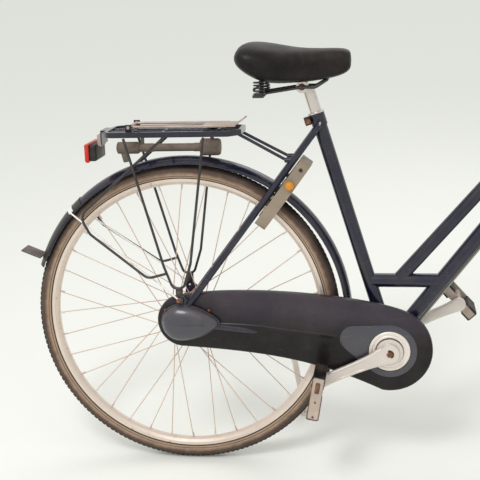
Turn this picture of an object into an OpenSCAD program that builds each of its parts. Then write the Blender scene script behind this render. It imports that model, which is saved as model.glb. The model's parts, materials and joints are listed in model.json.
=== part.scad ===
// A step-through city bicycle, parked on its side stand.
// Everything is drawn upright first: x runs forward from the rear axle, y to the bicycle's left
// and z up from the ground under the wheels. parked() then leans it onto the stand.

/* [Wheels] */
// Outer radius of both tyres
wheel_r = 348; // [340:1:356]
// Diameter of the tyre's round section
tyre_d = 38; // [34:1:42]
// Distance between the two axles
wheelbase = 1110; // [1060:1:1180]
// Width of the rims
rim_w = 28; // [24:1:30]
// Depth of the rims, from the spokes to the tyre's edge
rim_h = 15; // [12:1:20]
// Spokes in each wheel
spoke_count = 36; // [28:4:36]
// Thickness of a spoke
spoke_d = 2; // [1.8:0.1:2.3]

/* [Frame] */
// Length of the chainstays, bottom bracket to rear axle
chainstay_l = 461; // [450:1:490]
// How far the bottom bracket lies under the axles
bb_drop = 63; // [55:1:72]
// Slope of the seat tube
seat_angle = 73.25; // [70:0.25:75]
// Slope of the head tube
head_angle = 70; // [68:0.25:72]
// Length of the seat tube above the bottom bracket
seat_tube_l = 543; // [500:1:580]
// Diameter of the seat tube
seat_tube_d = 30; // [28:0.5:34]
// Diameter of the down tube
down_tube_d = 33; // [30:0.5:36]
// Diameter of the upper tube
upper_tube_d = 29; // [26:0.5:32]
// Diameter of the short level tube that carries the upper tube
bridge_tube_d = 31; // [28:0.5:34]
// Height of the level tube's axis
bridge_z = 431; // [415:1:450]
// Length of the head tube
head_tube_l = 118; // [108:1:150]
// Diameter of the seat stays
seat_stay_d = 15; // [13:0.5:16]
// Diameter of the chainstays
chainstay_d = 16; // [14:0.5:18]

/* [Fork and handlebar] */
// How far the front axle lies ahead of the steering axis
fork_rake = 58; // [45:1:70]
// Diameter of the handlebar
bar_d = 22.2; // [21:0.1:25.4]
// Half the width across the grips
bar_half_w = 292; // [270:1:320]
// How far the handlebar's clamp stands above the head tube
bar_rise = 96.75; // [60:0.25:150]

/* [Cranks and pedals] */
// Length of a crank arm
crank_l = 170; // [160:1:178]
// Angle of the left crank above level
crank_angle = 24; // [0:1:45]
// Length of a pedal along the foot
pedal_l = 98; // [80:1:104]
// Width of a pedal
pedal_w = 90; // [76:1:96]
// Thickness of a pedal
pedal_h = 27; // [22:1:32]

/* [Saddle and carrier] */
// Length of the saddle
saddle_l = 246; // [230:1:270]
// Width of the saddle at its rear
saddle_w = 206; // [180:1:220]
// How far the saddle's rear rim stands above the seat tube
saddle_rise = 152; // [130:1:180]
// Height of the top of the carrier's deck
carrier_z = 775; // [764:1:785]
// Width of the carrier's deck
carrier_w = 124; // [110:1:130]
// Depth of the deck's rim
carrier_h = 12; // [9:1:15]
// Thickness of the carrier's leg wires
leg_d = 6; // [5:0.5:7]

/* [Mudguards] */
// Width of the mudguards
guard_w = 52; // [46:1:54]
// Gap between a tyre's tread and the mudguard
guard_gap = 16; // [12:1:20]
// Thickness of the mudguards
guard_t = 1.6; // [1.2:0.1:2]

/* [Chaincase] */
// Thickness of the chaincase
case_t = 20; // [18:1:22]
// Radius of its front end, round the crank
case_front_r = 94; // [88:1:100]
// Radius of its rear end, round the axle
case_rear_r = 60; // [55:1:64]

/* [Stand] */
// How far the bicycle leans onto its stand
lean = 7; // [5:0.5:9]
// How far to the left the foot stands
foot_y = 205; // [190:1:220]
// Thickness of the stand's leg
stand_d = 14; // [12:1:16]

/* [Hidden] */
$fn = 48;

// ---- driving points ----
gap = 0.3;            // what fits on another piece stands this far off it
axle_z = wheel_r;
section_r = tyre_d / 2;
bb = [sqrt(pow(chainstay_l, 2) - pow(bb_drop, 2)), 0, axle_z - bb_drop];
rear_axle_p = [0, 0, axle_z];
front_axle_p = [wheelbase, 0, axle_z];
seat_dir = [-cos(seat_angle), 0, sin(seat_angle)];
head_dir = [-cos(head_angle), 0, sin(head_angle)];
head_foot = [wheelbase - fork_rake / sin(head_angle), 0, axle_z];
function on_seat(s) = bb + s * seat_dir;
function on_head(s) = head_foot + s * head_dir;
function on_head_at(z) = on_head((z - axle_z) / sin(head_angle));
function on_seat_at(z) = on_seat((z - bb.z) / sin(seat_angle));
function mid(a, b, t) = a + t * (b - a);
function at_y(p, y) = [p.x, y, p.z];
function flip(p) = [p.x, -p.y, p.z];
function floor_z(y) = section_r + (y * sin(lean) - section_r) / cos(lean);

// ---- frame points ----
shell_l = 68;
shell_d = 40;
spindle_d = 17;
down_dir = [cos(52.3), 0, sin(52.3)];
upper_dir = [cos(48.8), 0, sin(48.8)];
bridge_rear = on_seat_at(bridge_z);
bridge_front = bb + (bridge_z - bb.z) / down_dir.z * down_dir;
upper_foot = mid(bridge_rear, bridge_front, 0.39);
function meet_head(p, d) = let (k = ((head_foot.x - p.x) * head_dir.z - (head_foot.z - p.z) * head_dir.x)
    / (d.x * head_dir.z - d.z * head_dir.x)) p + k * d;
down_top = meet_head(bb, down_dir);
upper_top = meet_head(upper_foot, upper_dir);
head_mid = mid(down_top, upper_top, 0.5);
head_low = head_mid - head_tube_l / 2 * head_dir;
head_high = head_mid + head_tube_l / 2 * head_dir;
bar_z = head_high.z + bar_rise;
steerer_d = 25.4;
head_tube_d = 37;
post_d = 25.4;
seat_top = on_seat(seat_tube_l);
saddle_z = seat_top.z + saddle_rise;
dropout_t = 5;
case_y = 36;          // inner face of the chaincase
dropout_y = case_y + case_t + 1;      // inner face of the rear dropouts, just outside the case
stay_top = on_seat(seat_tube_l - 27);
stay_top_y = seat_tube_d / 2 + seat_stay_d / 2 - 2;
stay_foot = [14, -(dropout_y + dropout_t / 2), axle_z + 40];
eyelet = [-4, 0, axle_z + 54];
stay_dir = (at_y(stay_foot, 0) - at_y(stay_top, 0)) / norm(at_y(stay_foot, 0) - at_y(stay_top, 0));
function stay_at(z) = let (t = (stay_top.z - z) / (stay_top.z - stay_foot.z))
    [stay_top.x + t * (stay_foot.x - stay_top.x), -stay_top_y + t * (stay_foot.y + stay_top_y), z];
chainstay_start = [bb.x - 14, 26, bb.z + 2];
chainstay_end = [20, dropout_y + dropout_t / 2, axle_z - 3];
function chainstay_at(x) = let (t = (chainstay_start.x - x) / (chainstay_start.x - chainstay_end.x))
    mid(chainstay_start, chainstay_end, t);

// ---- the bicycle's own place on the floor ----
flap_reach = 376;     // how far the flap reaches behind the rear axle
flap_a = 158;
flap_tilt = 22;
origin_x = (wheelbase + wheel_r - flap_reach) / 2;
grip_end_z = bar_z + 28;
origin_y = (grip_end_z - section_r) * sin(lean);

module parked() {
    translate([-origin_x, -origin_y, section_r]) rotate([-lean, 0, 0])
        translate([0, 0, -section_r]) children();
}

module both_sides() {
    children();
    mirror([0, 1, 0]) children();
}

// A straight rod between two points
module rod(a, b, d, d2 = 0) {
    v = b - a;
    translate(a) rotate([0, acos(v.z / norm(v)), atan2(v.y, v.x)])
        cylinder(h = norm(v), d1 = d, d2 = d2 > 0 ? d2 : d);
}

// A rod of thickness d along the points, with every corner bent round at radius r
function unit(v) = v / norm(v);
function turn(p, i) = i <= 0 || i >= len(p) - 1 ? 0
    : acos(max(-1, min(1, unit(p[i] - p[i - 1]) * unit(p[i + 1] - p[i]))));
function bend(p, i, r, d) = let (t = turn(p, i), n = min(ceil(t / 30), floor(r * t * PI / 180 / (1.5 * d))),
    u = unit(p[i] - p[i - 1]), w = unit(p[i + 1] - p[i]), v = unit(w - (w * u) * u),
    s = p[i] - r * tan(t / 2) * u)
    n < 1 ? [p[i]] : [for (k = [0 : n]) s + r * sin(t * k / n) * u + r * (1 - cos(t * k / n)) * v];
function rounded(p, r, d) = [for (i = [0 : len(p) - 1]) each turn(p, i) < 3 ? [p[i]] : bend(p, i, r, d)];
// A ball at a corner, its poles and seam turned away from both rods
module knuckle(a, b, c, d) {
    u = unit(b - a);
    w = unit(c - b);
    x = unit(u - w);
    z = unit(cross(u, w));
    y = cross(z, x);
    multmatrix([[x.x, y.x, z.x, b.x], [x.y, y.y, z.y, b.y], [x.z, y.z, z.z, b.z], [0, 0, 0, 1]])
        sphere(d = d);
}
module bent_rod(p, r, d) {
    q = rounded(p, r, d);
    for (i = [0 : len(q) - 2]) rod(q[i], q[i + 1], d);
    for (i = [1 : len(q) - 2]) knuckle(q[i - 1], q[i], q[i + 1], d * 1.03 + 0.1);
}

// Things turned about an axle that runs along y
module turned(p) {
    translate(p) rotate([90, 0, 0]) rotate_extrude() children();
}
module disc_y(p, y0, y1, r) {
    translate([p.x, y1, p.z]) rotate([90, 0, 0]) cylinder(r = r, h = y1 - y0);
}

// ================= frame =================
module frame_tubes() {
    color("midnightblue") difference() {
        union() {
            rod(bb, seat_top, seat_tube_d);
            rod(bb, down_top, down_tube_d);
            rod(upper_foot, upper_top, upper_tube_d);
            rod(bridge_rear, bridge_front, bridge_tube_d);
            rod(head_low, head_high, head_tube_d);
            disc_y(bb, -shell_l / 2, shell_l / 2, shell_d / 2);
            rod(on_seat(seat_tube_l - 30), seat_top, seat_tube_d + 4);
            // the seat lug's two clamp ears, behind the tube
            for (s = [-1, 1]) translate(on_seat(seat_tube_l - 13)) rotate([0, seat_angle - 90, 0])
                translate([-seat_tube_d / 2 - 14, s * 5 - 2, -9]) cube([16, 4, 18]);
        }
        rod(on_seat(seat_tube_l - 130), on_seat(seat_tube_l + 5), post_d + 2 * gap);
        translate(on_seat(seat_tube_l - 13)) rotate([0, seat_angle - 90, 0])
            translate([-seat_tube_d / 2 - 20, -3, -20]) cube([22, 6, 50]);
        seat_bolt_shape(7 + gap);
        rod(head_low - 5 * head_dir, head_high + 5 * head_dir, steerer_d + 4);
        disc_y(bb, -shell_l, shell_l, shell_d / 2 - 3);
        for (s = [-1, 1]) at_stays(s) rod(chainstay_at(bb.x), chainstay_at(bb.x - 60), chainstay_d + 2 * gap);
        for (s = [-1, 1]) at_stays(s)
            rod(stay_at(stay_top.z + 30), stay_at(stay_top.z - 80), seat_stay_d + 2 * gap);
    }
}

module at_stays(s) {
    if (s > 0) children(); else mirror([0, 1, 0]) children();
}

module seat_bolt_shape(d) {
    c = on_seat(seat_tube_l - 13) - (seat_tube_d / 2 + 7) * [sin(seat_angle), 0, cos(seat_angle)];
    disc_y(c, -14, 14, d / 2);
}

module seat_bolt() {
    c = on_seat(seat_tube_l - 13) - (seat_tube_d / 2 + 7) * [sin(seat_angle), 0, cos(seat_angle)];
    color("silver") {
        disc_y(c, -14, 14, 3.5);
        disc_y(c, -14, -7 - gap, 6);
        disc_y(c, 7 + gap, 14, 6);
    }
}

module dropout() {
    translate([0, -dropout_y, 0]) rotate([90, 0, 0]) linear_extrude(dropout_t) difference() {
        hull() {
            translate([0, axle_z]) circle(r = 19);
            translate([26, axle_z + 2]) circle(r = 12);
            translate([14, axle_z + 40]) circle(r = 9);
            translate([eyelet.x, eyelet.z]) circle(r = 9);
        }
        translate([0, axle_z]) circle(d = axle_d + 2 * gap);
        translate([eyelet.x, eyelet.z]) circle(d = 5.2);
        translate([-10, axle_z + 30]) circle(d = 5.2);
    }
}

module rear_triangle() {
    color("midnightblue") {
        both_sides() {
            dropout();
            difference() {
                union() {
                    rod(stay_at(stay_top.z), stay_foot, seat_stay_d);
                    mirror([0, 1, 0]) rod(chainstay_start, chainstay_end, chainstay_d);
                }
                disc_y(rear_axle_p, -90, 90, 17);
                disc_y(bb, -shell_l, shell_l, shell_d / 2 + gap);
            }
        }
        // bridge above the mudguard and bridge behind the bottom bracket
        rod(stays_bridge, flip(stays_bridge), 11);
        rod(at_y(chainstay_at(bridge_x), -30), at_y(chainstay_at(bridge_x), 30), 12);
    }
}

module bottom_bracket() {
    color("gray") for (s = [-1, 1]) difference() {
        disc_y(bb, s > 0 ? shell_l / 2 - 14 : -shell_l / 2 - 3, s > 0 ? shell_l / 2 + 3 : -shell_l / 2 + 14,
            shell_d / 2 - 3 - 0.1);
        disc_y(bb, -shell_l, shell_l, spindle_d / 2 + 0.1);
    }
}

module headset() {
    color("silver") difference() {
        union() {
            rod(head_low - 8 * head_dir, head_low, head_tube_d + 3);
            rod(head_low, head_low + 9 * head_dir, steerer_d + 3.8);
            rod(head_high, head_high + 9 * head_dir, head_tube_d + 1);
            rod(head_high - 9 * head_dir, head_high, steerer_d + 3.8);
        }
        rod(head_low - 20 * head_dir, head_high + 20 * head_dir, steerer_d + 0.2);
    }
}

// ================= saddle =================
post_top = on_seat_at(saddle_z - 100);
rail_y = 24;
rail_d = 7;
module seat_post() {
    color("silver") {
        rod(on_seat(seat_tube_l - 110), post_top, post_d);
        // the clamp ends just inside the saddle's rails
        half = rail_y - rail_d / 2 - gap;
        rod(at_y(post_top, -half) + [-12, 0, 4], at_y(post_top, half) + [-12, 0, 4], 26);
    }
}

saddle_x = post_top.x - 153.5;               // the rails are clamped under the saddle's middle
module saddle() {
    // the rear is wide and crowned, the nose narrow and rounded
    color("black") difference() {
        hull() {
            for (s = [-1, 1]) {
                translate([saddle_x + 34, s * (saddle_w / 2 - 32), saddle_z - 31]) sphere(r = 31, $fn = 32);
                translate([saddle_x + 62, s * (saddle_w / 2 - 42), saddle_z - 58]) sphere(r = 26, $fn = 32);
                translate([saddle_x + saddle_l - 24, s * 10, saddle_z - 44]) sphere(r = 23, $fn = 32);
                translate([saddle_x + 120, s * (saddle_w / 2 - 64), saddle_z - 60]) sphere(r = 24, $fn = 32);
            }
        }
        translate([saddle_x + 30, -200, saddle_z - 190]) cube([200, 400, 110]);
    }
}

module saddle_springs() {
    // two rails on a rear plate with a coil spring under each side of the saddle
    color("dimgray") {
        both_sides() bent_rod([[saddle_x + saddle_l - 50, -15, saddle_z - 81 - gap],
            [saddle_x + saddle_l - 76, -rail_y, saddle_z - 97], [post_top.x - 12, -rail_y, post_top.z + 4],
            [saddle_x + 50, -rail_y, saddle_z - 109]], 9, rail_d);
        both_sides() translate([saddle_x + 54, -52, saddle_z - 111]) cylinder(d = 26, h = 31 - gap);
        translate([saddle_x + 40, -58, saddle_z - 114]) cube([24, 116, 6.5]);
    }
}

// ================= mudguards =================
guard_r = wheel_r + guard_gap + guard_t;    // crown radius, from the axle
guard_curve = 32;                           // radius of the mudguard's cross-section
rear_guard_p = rear_axle_p + [10, 0, 1];    // the rear one sits closer to the tyre behind than in front
bridge_x = rear_guard_p.x + guard_r + 2 * gap + 1.8 + 6;   // the chainstays' bridge, in front of it
// Where the right seat stay is a given distance outside the mudguard's crown
function stay_beyond(out) = let (f = at_y(stay_foot, 0) - rear_guard_p, k = f * stay_dir
    + sqrt(pow(f * stay_dir, 2) - f * f + pow(guard_r + out, 2))) stay_at(stay_foot.z - k * stay_dir.z);
stays_bridge = stay_beyond(27.5);
module guard_profile(extra = 0, t = guard_t) {
    // a shallow curved channel, open towards the tyre
    translate([guard_r - guard_curve, 0]) intersection() {
        difference() {
            circle(r = guard_curve + extra);
            circle(r = guard_curve + extra - t);
        }
        translate([0, -guard_w / 2]) square([guard_curve * 2, guard_w]);
    }
}
// A mudguard round the axle p from angle a0 to a1, both above the forward level
module guard_sweep(p, a0, a1, extra = 0, t = guard_t) {
    translate(p) rotate([90, 0, 0]) rotate([0, 0, a0]) rotate_extrude(angle = a1 - a0, $fn = 96)
        guard_profile(extra, t);
}
rear_guard_start = -4;
tail_start = 132;
rear_guard_end = 157;
module rear_mudguard() {
    color("midnightblue") {
        guard_sweep(rear_guard_p, rear_guard_start, rear_guard_end - 1);
        // strap down to the chainstays' bridge, and spacer up to the seat stays'
        translate([rear_guard_p.x + guard_r + gap, -8, chainstay_at(bridge_x).z - 5]) cube([1.8, 16, 46]);
        b = at_y(stays_bridge, 0);
        u = unit(b - rear_guard_p);
        rod(rear_guard_p + (guard_r + gap) * u, b - (5.5 + gap) * u, 10);
    }
}

module mudguard_tail() {
    color("black") guard_sweep(rear_guard_p, tail_start, rear_guard_end + 4, gap + 1.4, 1.4);
}

module mudguard_flap() {
    root = rear_guard_p + (guard_r + 2.4) * [cos(flap_a), 0, sin(flap_a)];
    reach = (flap_reach + root.x - 3 * sin(flap_tilt)) / cos(flap_tilt);
    color("dimgray") translate(root) rotate([0, flap_tilt, 0])
        translate([-reach, -24, -3]) cube([reach, 48, 3]);
}

stay_wire_d = 4;
leg_y = dropout_y + dropout_t + leg_d / 2 + gap;    // the carrier's legs run outside the dropouts
stay_y = leg_y + leg_d / 2 + stay_wire_d / 2 + gap;
guard_stay_a = 137;
module rear_mudguard_stay() {
    // a wire up each side and a strap across the mudguard
    c = [cos(guard_stay_a), 0, sin(guard_stay_a)];
    color("gainsboro") {
        both_sides() bent_rod([at_y(eyelet, -stay_y),
            rear_guard_p + (guard_r - 12) * c + [0, -(guard_w / 2 + 5), 0],
            rear_guard_p + (guard_r - 3) * c + [0, -(guard_w / 2 + 3), 0]], 4, stay_wire_d);
        guard_sweep(rear_guard_p, guard_stay_a - 1, guard_stay_a + 1, 2 * gap + 3, 1.6);
        both_sides() disc_y(eyelet, -stay_y - 4, -dropout_y + 0.5, 2.5);
        both_sides() disc_y(eyelet, -stay_y - 4.5, -stay_y - 1.5, 5);
    }
}

// ================= carrier =================
deck_rear = -158;
deck_front = 150;
deck_y = carrier_w / 2;
clip_pivot = [-104, 0, carrier_z + 8];
// Plan of the deck's rim: rounded behind, narrowed in front
function deck_plan(in) = let (r = 24 - in, y = deck_y - in)
    concat([for (k = [0 : 6]) let (a = 90 + 15 * k) [deck_rear + in + r + r * cos(a), y - r + r * sin(a)]],
        [for (k = [0 : 6]) let (a = 180 + 15 * k) [deck_rear + in + r + r * cos(a), -y + r + r * sin(a)]],
        [[deck_front - 34, -y], [deck_front - 8 - in, -y + 26], [deck_front - 8 - in, y - 26],
            [deck_front - 34, y]]);
module carrier() {
    color("midnightblue") {
        translate([0, 0, carrier_z - carrier_h]) linear_extrude(carrier_h) difference() {
            polygon(deck_plan(0));
            polygon(deck_plan(7));
        }
        for (y = [-20, 20]) rod([deck_rear + 3, y, carrier_z - 4], [deck_front - 11, y, carrier_z - 4], 5.5);
        for (x = [-100, -30, 88]) rod([x, -deck_y + 3, carrier_z - 5], [x, deck_y - 3, carrier_z - 5], 6.4);
        // ears for the clip's hinge
        both_sides() difference() {
            translate([clip_pivot.x - 7, 39, carrier_z - 8]) cube([14, 4, 22]);
            disc_y(clip_pivot, 30, 60, 3.55);
        }
        // front arms down to the seat stays
        both_sides() bent_rod([[deck_front - 30, -21, carrier_z - 5], [deck_front + 5, -22, carrier_z - 24],
            [stay_at(706).x - 16, stay_at(706).y, 706]], 10, 7);
        both_sides() difference() {
            rod([stay_at(706).x - 20, stay_at(706).y, 706], stay_at(706), 11);
            rod(stay_at(stay_top.z), stay_foot, seat_stay_d + 2 * gap);
            translate(stay_at(706) - [2, 20, 20]) cube(40);
        }
        // plate for the tail light
        translate([deck_rear - 12, -25, carrier_z - 3]) cube([14, 50, 3]);
        translate([deck_rear - 14, -25, carrier_z - 31]) cube([2.5, 50, 31]);
    }
}

module carrier_legs() {
    color("midnightblue") both_sides() difference() {
        union() {
            // a V of wire, flattened where the bolt holds it
            bent_rod([[-112, -deck_y, carrier_z - carrier_h - gap - 0.9], [-36, -leg_y - 1, 478],
                [eyelet.x - 14, -leg_y, eyelet.z + 28],
                [eyelet.x + 10, -leg_y, eyelet.z + 28], [24, -leg_y - 1, 484],
                [63, -deck_y, carrier_z - carrier_h - gap - 0.9]], 10, leg_d);
            translate([eyelet.x - 8, -leg_y - 2, eyelet.z - 9]) cube([16, 4, 38]);
            // brace from the deck to the mudguard and back to the leg
            bent_rod([[-25, -deck_y + 8, carrier_z - carrier_h - gap - 0.9], [-224, -50, 588],
                [-203, -52, 548],
                [-72, -leg_y - 6.8, 452], [-31, -leg_y - 6.8, 463]], 12, leg_d);
        }
        disc_y(eyelet, -90, 90, 2.5 + gap);
    }
}

clip_tip = 128;
module carrier_clip() {
    // a sprung wire frame hinged behind, with a lipped plate in front
    z = clip_pivot.z;
    color("silver") {
        rod([clip_pivot.x, -46, z], [clip_pivot.x, 46, z], 7);
        both_sides() rod([clip_pivot.x, -33, z], [clip_tip - 20, -33, z - 1], 6);
        translate([clip_tip - 72, -36, z - 2.5]) cube([72, 72, 3]);
        translate([clip_tip - 1, -18, z - 2.5]) rotate([0, -35, 0]) cube([26, 36, 3]);
    }
}

light_x = deck_rear - 14;
module tail_light() {
    color("dimgray") {
        translate([light_x - 24, -40, carrier_z - 66]) cube([16, 80, 36]);
        translate([light_x - 10, -22, carrier_z - 34]) cube([10 - gap, 44, 22]);
    }
}
module tail_light_lens() {
    color("red") translate([light_x - 34, -43, carrier_z - 69]) cube([10 - gap, 86, 42]);
}

pump_z = carrier_z - 44;
module pump() {
    color("gray") {
        rod([-92, 0, pump_z], [60, 0, pump_z], 19);
        rod([-142, 0, pump_z + 3], [-92, 0, pump_z + 3], 27);
        crown_z = rear_guard_p.z + sqrt(pow(guard_r, 2) - pow(122 + rear_guard_p.x, 2));
        rod([-128, 0, pump_z], [-122, 0, crown_z + 3.5], 17);
        rod([58, 0, pump_z + 2], [90, 0, pump_z + 2], 39);
        for (x = [-84, 72]) {
            rod([x, 0, pump_z + 5], [x, 0, carrier_z - 9], 8);
            translate([x - 6, -26, carrier_z - 10 - gap]) cube([12, 52, 3]);
        }
    }
}

// ================= ring lock =================
lock_at = stay_beyond(-16.2);        // the lock sits where the stays pass the tyre
lock_slope = atan2(stay_dir.x, stay_dir.z);
module lock_place() {
    translate([lock_at.x, 0, lock_at.z]) rotate([0, lock_slope + 180, 0])
        translate([seat_stay_d / 2 + 4, 0, 0]) children();
}
lock_t = 26;
module ring_lock() {
    color("tan") lock_place() {
        rotate([90, 0, 90]) linear_extrude(lock_t) difference() {
            hull() {
                translate([0, 26]) circle(r = 52);
                translate([-18, 70]) circle(r = 26);
                translate([18, 70]) circle(r = 26);
                translate([-38, -66]) circle(r = 13);
                translate([38, -66]) circle(r = 13);
            }
            hull() {
                translate([0, 8]) circle(r = 32);
                translate([0, -120]) circle(r = 32);
            }
        }
        for (s = [-1, 1], z = [-10, 34]) rod([-4 + gap, s * 38, z], [1, s * 38, z], 10);
    }
}
module lock_key() {
    color("orange") lock_place() rod([13, -52.3, 37], [13, -66, 37], 20);
}

// ================= chaincase =================
function bez(p0, p1, p2, p3, t) = pow(1 - t, 3) * p0 + 3 * t * pow(1 - t, 2) * p1
    + 3 * t * t * (1 - t) * p2 + pow(t, 3) * p3;
function arc(c, r, a0, a1, n) = [for (i = [0 : n]) let (a = a0 + (a1 - a0) * i / n)
    [c.x + r * cos(a), c.z + r * sin(a)]];
case_outline = let (
    front = arc(bb, case_front_r, -100, 62, 18),
    rear = arc(rear_axle_p, case_rear_r, 112, 262, 16),
    a = front[18], b = rear[0], c = rear[16], d = front[0])
    concat(front,
        [for (i = [1 : 9]) bez(a, a + [-70, 38], b + [150, 34], b, i / 10)],
        rear,
        [for (i = [1 : 9]) bez(c, c + [190, -12], d + [-150, 70], d, i / 10)]);
module chaincase() {
    color("midnightblue") difference() {
        translate([0, -case_y, 0]) rotate([90, 0, 0]) linear_extrude(case_t) polygon(case_outline);
        disc_y(rear_axle_p, -90, -20, 13);
        disc_y(bb, -90, -20, shell_d / 2 - 1);
        mirror([0, 1, 0]) rod(chainstay_at(bb.x), chainstay_end, chainstay_d + 2);
        rod(stay_at(stay_top.z), stay_at(340), seat_stay_d + 2);
    }
}

cap_y = dropout_y + dropout_t + 1;
module chaincase_cap() {
    color("midnightblue") difference() {
        intersection() {
            hull() {
                translate([-8, -cap_y, axle_z - 1]) scale(1) sphere(r = 39, $fn = 40);
                translate([66, -cap_y + 2, axle_z - 2]) sphere(r = 18, $fn = 32);
            }
            translate([-60, -cap_y - 26, axle_z - 60]) cube([180, 26, 120]);
        }
        mirror([0, 1, 0]) rod(chainstay_at(bb.x), chainstay_at(0), chainstay_d + 2);
        rod(stay_at(stay_top.z), stay_at(340), seat_stay_d + 2);
        disc_y(rear_axle_p, -dropout_y - dropout_t - 20, -20, 14);
        disc_y(eyelet, -90, -20, 13);
    }
}

module chaincase_ring() {
    out = case_y + case_t;
    color("silver") turned(at_y(bb, 0)) polygon([[30, out + gap], [45, out + gap], [45, out + 1.5],
        [42, out + 3], [33, out + 3], [30, out + 1.5]]);
}

// ================= wheels =================
axle_d = 10;
rim_r = wheel_r - tyre_d + 7;
module tyre(p) {
    turned(p) difference() {
        translate([wheel_r - section_r, 0]) circle(r = section_r);
        translate([0, -section_r]) square([rim_r + 0.2, tyre_d]);
    }
}
module rim(p) {
    w = rim_w / 2;
    turned(p) polygon([[rim_r, -w], [rim_r, w], [rim_r - 7, w], [rim_r - rim_h + 3, w - 5],
        [rim_r - rim_h, w - 10],
        [rim_r - rim_h, -w + 10], [rim_r - rim_h + 3, -w + 5], [rim_r - 7, -w]]);
}
flange_t = 3;
// Crossing spokes: those of one side run alternately inside and outside of each other
module spokes(p, flange_r, flange_y) {
    translate(p) for (k = [0 : spoke_count - 1]) {
        side = k % 2 == 0 ? 1 : -1;
        way = floor(k / 2) % 2 == 0 ? 1 : -1;
        a = 360 * k / spoke_count;
        b = a + way * 62;
        r = flange_r + spoke_d / 2 + gap + 0.2;
        rod([r * cos(b), side * (flange_y + way * (spoke_d / 2 + 0.8)), r * sin(b)],
            [(rim_r - rim_h - gap) * cos(a), side * 3, (rim_r - rim_h - gap) * sin(a)], spoke_d);
    }
}
module hub(p, flange_r, flange_y, barrel_r, half) {
    t = flange_t / 2;
    turned(p) polygon([[axle_d / 2 + 0.1, -half], [13, -half], [16, -half + 3], [16, -flange_y - t],
        [flange_r, -flange_y - t], [flange_r, -flange_y + t], [barrel_r, -flange_y + t + 4],
        [barrel_r, flange_y - t - 4], [flange_r, flange_y - t], [flange_r, flange_y + t],
        [16, flange_y + t], [16, half - 3], [13, half], [axle_d / 2 + 0.1, half]]);
}
rear_flange_r = 34;
rear_flange_y = 25;
front_flange_r = 30;
front_flange_y = 24;
module rear_tyre() { color("saddlebrown") tyre(rear_axle_p); }
module rear_rim() { color("silver") rim(rear_axle_p); }
module rear_spokes() { color("silver") spokes(rear_axle_p, rear_flange_r, rear_flange_y); }
module rear_hub() { color("silver") hub(rear_axle_p, rear_flange_r, rear_flange_y, 19, 33); }
module front_tyre() { color("saddlebrown") tyre(front_axle_p); }
module front_rim() { color("silver") rim(front_axle_p); }
module front_spokes() { color("silver") spokes(front_axle_p, front_flange_r, front_flange_y); }
module front_hub() { color("silver") hub(front_axle_p, front_flange_r, front_flange_y, 16, 28); }

// An axle with its spacers and nuts; the left spacer is short where a brake sits on it
module axle(p, hub_half, plate_in, plate_t, over, left) {
    disc_y(p, -plate_in - plate_t - over, plate_in + plate_t + over, axle_d / 2);
    disc_y(p, -plate_in + gap, -hub_half - gap, 8);
    disc_y(p, hub_half + gap, left, 8);
    for (s = [0, 1]) mirror([0, s, 0]) disc_y(p, plate_in + plate_t + gap, plate_in + plate_t + 8, 8.5);
}
rear_brake_in = 36;
module rear_axle() { color("gray") axle(rear_axle_p, 33, dropout_y, dropout_t, 18, rear_brake_in - gap); }

// Drum of the rear brake, with its arm to the chainstay
module rear_brake() {
    arm = chainstay_at(130);
    color("gray") difference() {
        union() {
            disc_y(rear_axle_p, rear_brake_in + 2, 54, 38);
            disc_y(rear_axle_p, rear_brake_in, rear_brake_in + 3, 34);
            hull() {
                disc_y(rear_axle_p, 47, 51, 16);
                disc_y([arm.x, 0, arm.z - 16], 47, 51, 8);
            }
        }
        disc_y(rear_axle_p, 20, 90, axle_d / 2 + gap);
        rod(chainstay_at(bb.x), chainstay_end, chainstay_d + 2);
    }
}

// ================= stand =================
stand_pivot = [226, 48, 286];
pad_h = 8;
stand_foot = [246, foot_y, floor_z(foot_y)];
stand_axis = unit([0, 1, 0.41]);
function stand_at(k) = stand_pivot + k * stand_axis;
module stand_bracket() {
    // a clamp on the left chainstay, and the leg's pivot bolt
    c = chainstay_at(stand_pivot.x);
    color("gray") {
        difference() {
            union() {
                translate([c.x - 17, c.y - 13, c.z - 13]) cube([34, 26, 26]);
                rod(stand_at(-4), c, 18);
                rod(stand_at(-6), stand_at(2), 22);
            }
            rod(chainstay_at(bb.x), chainstay_end, chainstay_d + 2 * gap);
            rod(stand_at(0.7), stand_at(40), 32);
        }
        rod(stand_at(-3.5), stand_at(11), 10);
        rod(stand_at(9.3), stand_at(12.5), 15);
    }
}
module stand_leg() {
    way = stand_foot + [0, -3, pad_h] - stand_pivot;
    down = unit(way - (way * stand_axis) * stand_axis);
    color("silver") {
        difference() {
            rod(stand_at(1), stand_at(9), 22);
            rod(stand_at(-12), stand_at(12), 10.1);
        }
        rod(stand_at(5) + 7 * down, stand_at(5) + 13 * down, 7.6);
        rod(stand_at(5) + 12.5 * down, stand_at(5) + 24 * down, 7.8, stand_d);
        translate(stand_at(5) + 24 * down) sphere(d = stand_d + 0.4);
        rod(stand_at(5) + 24 * down, stand_foot + [0, -3, pad_h], stand_d);
        translate(stand_foot) rotate([lean, 0, 0]) cylinder(d = 30, h = pad_h);
    }
}

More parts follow.
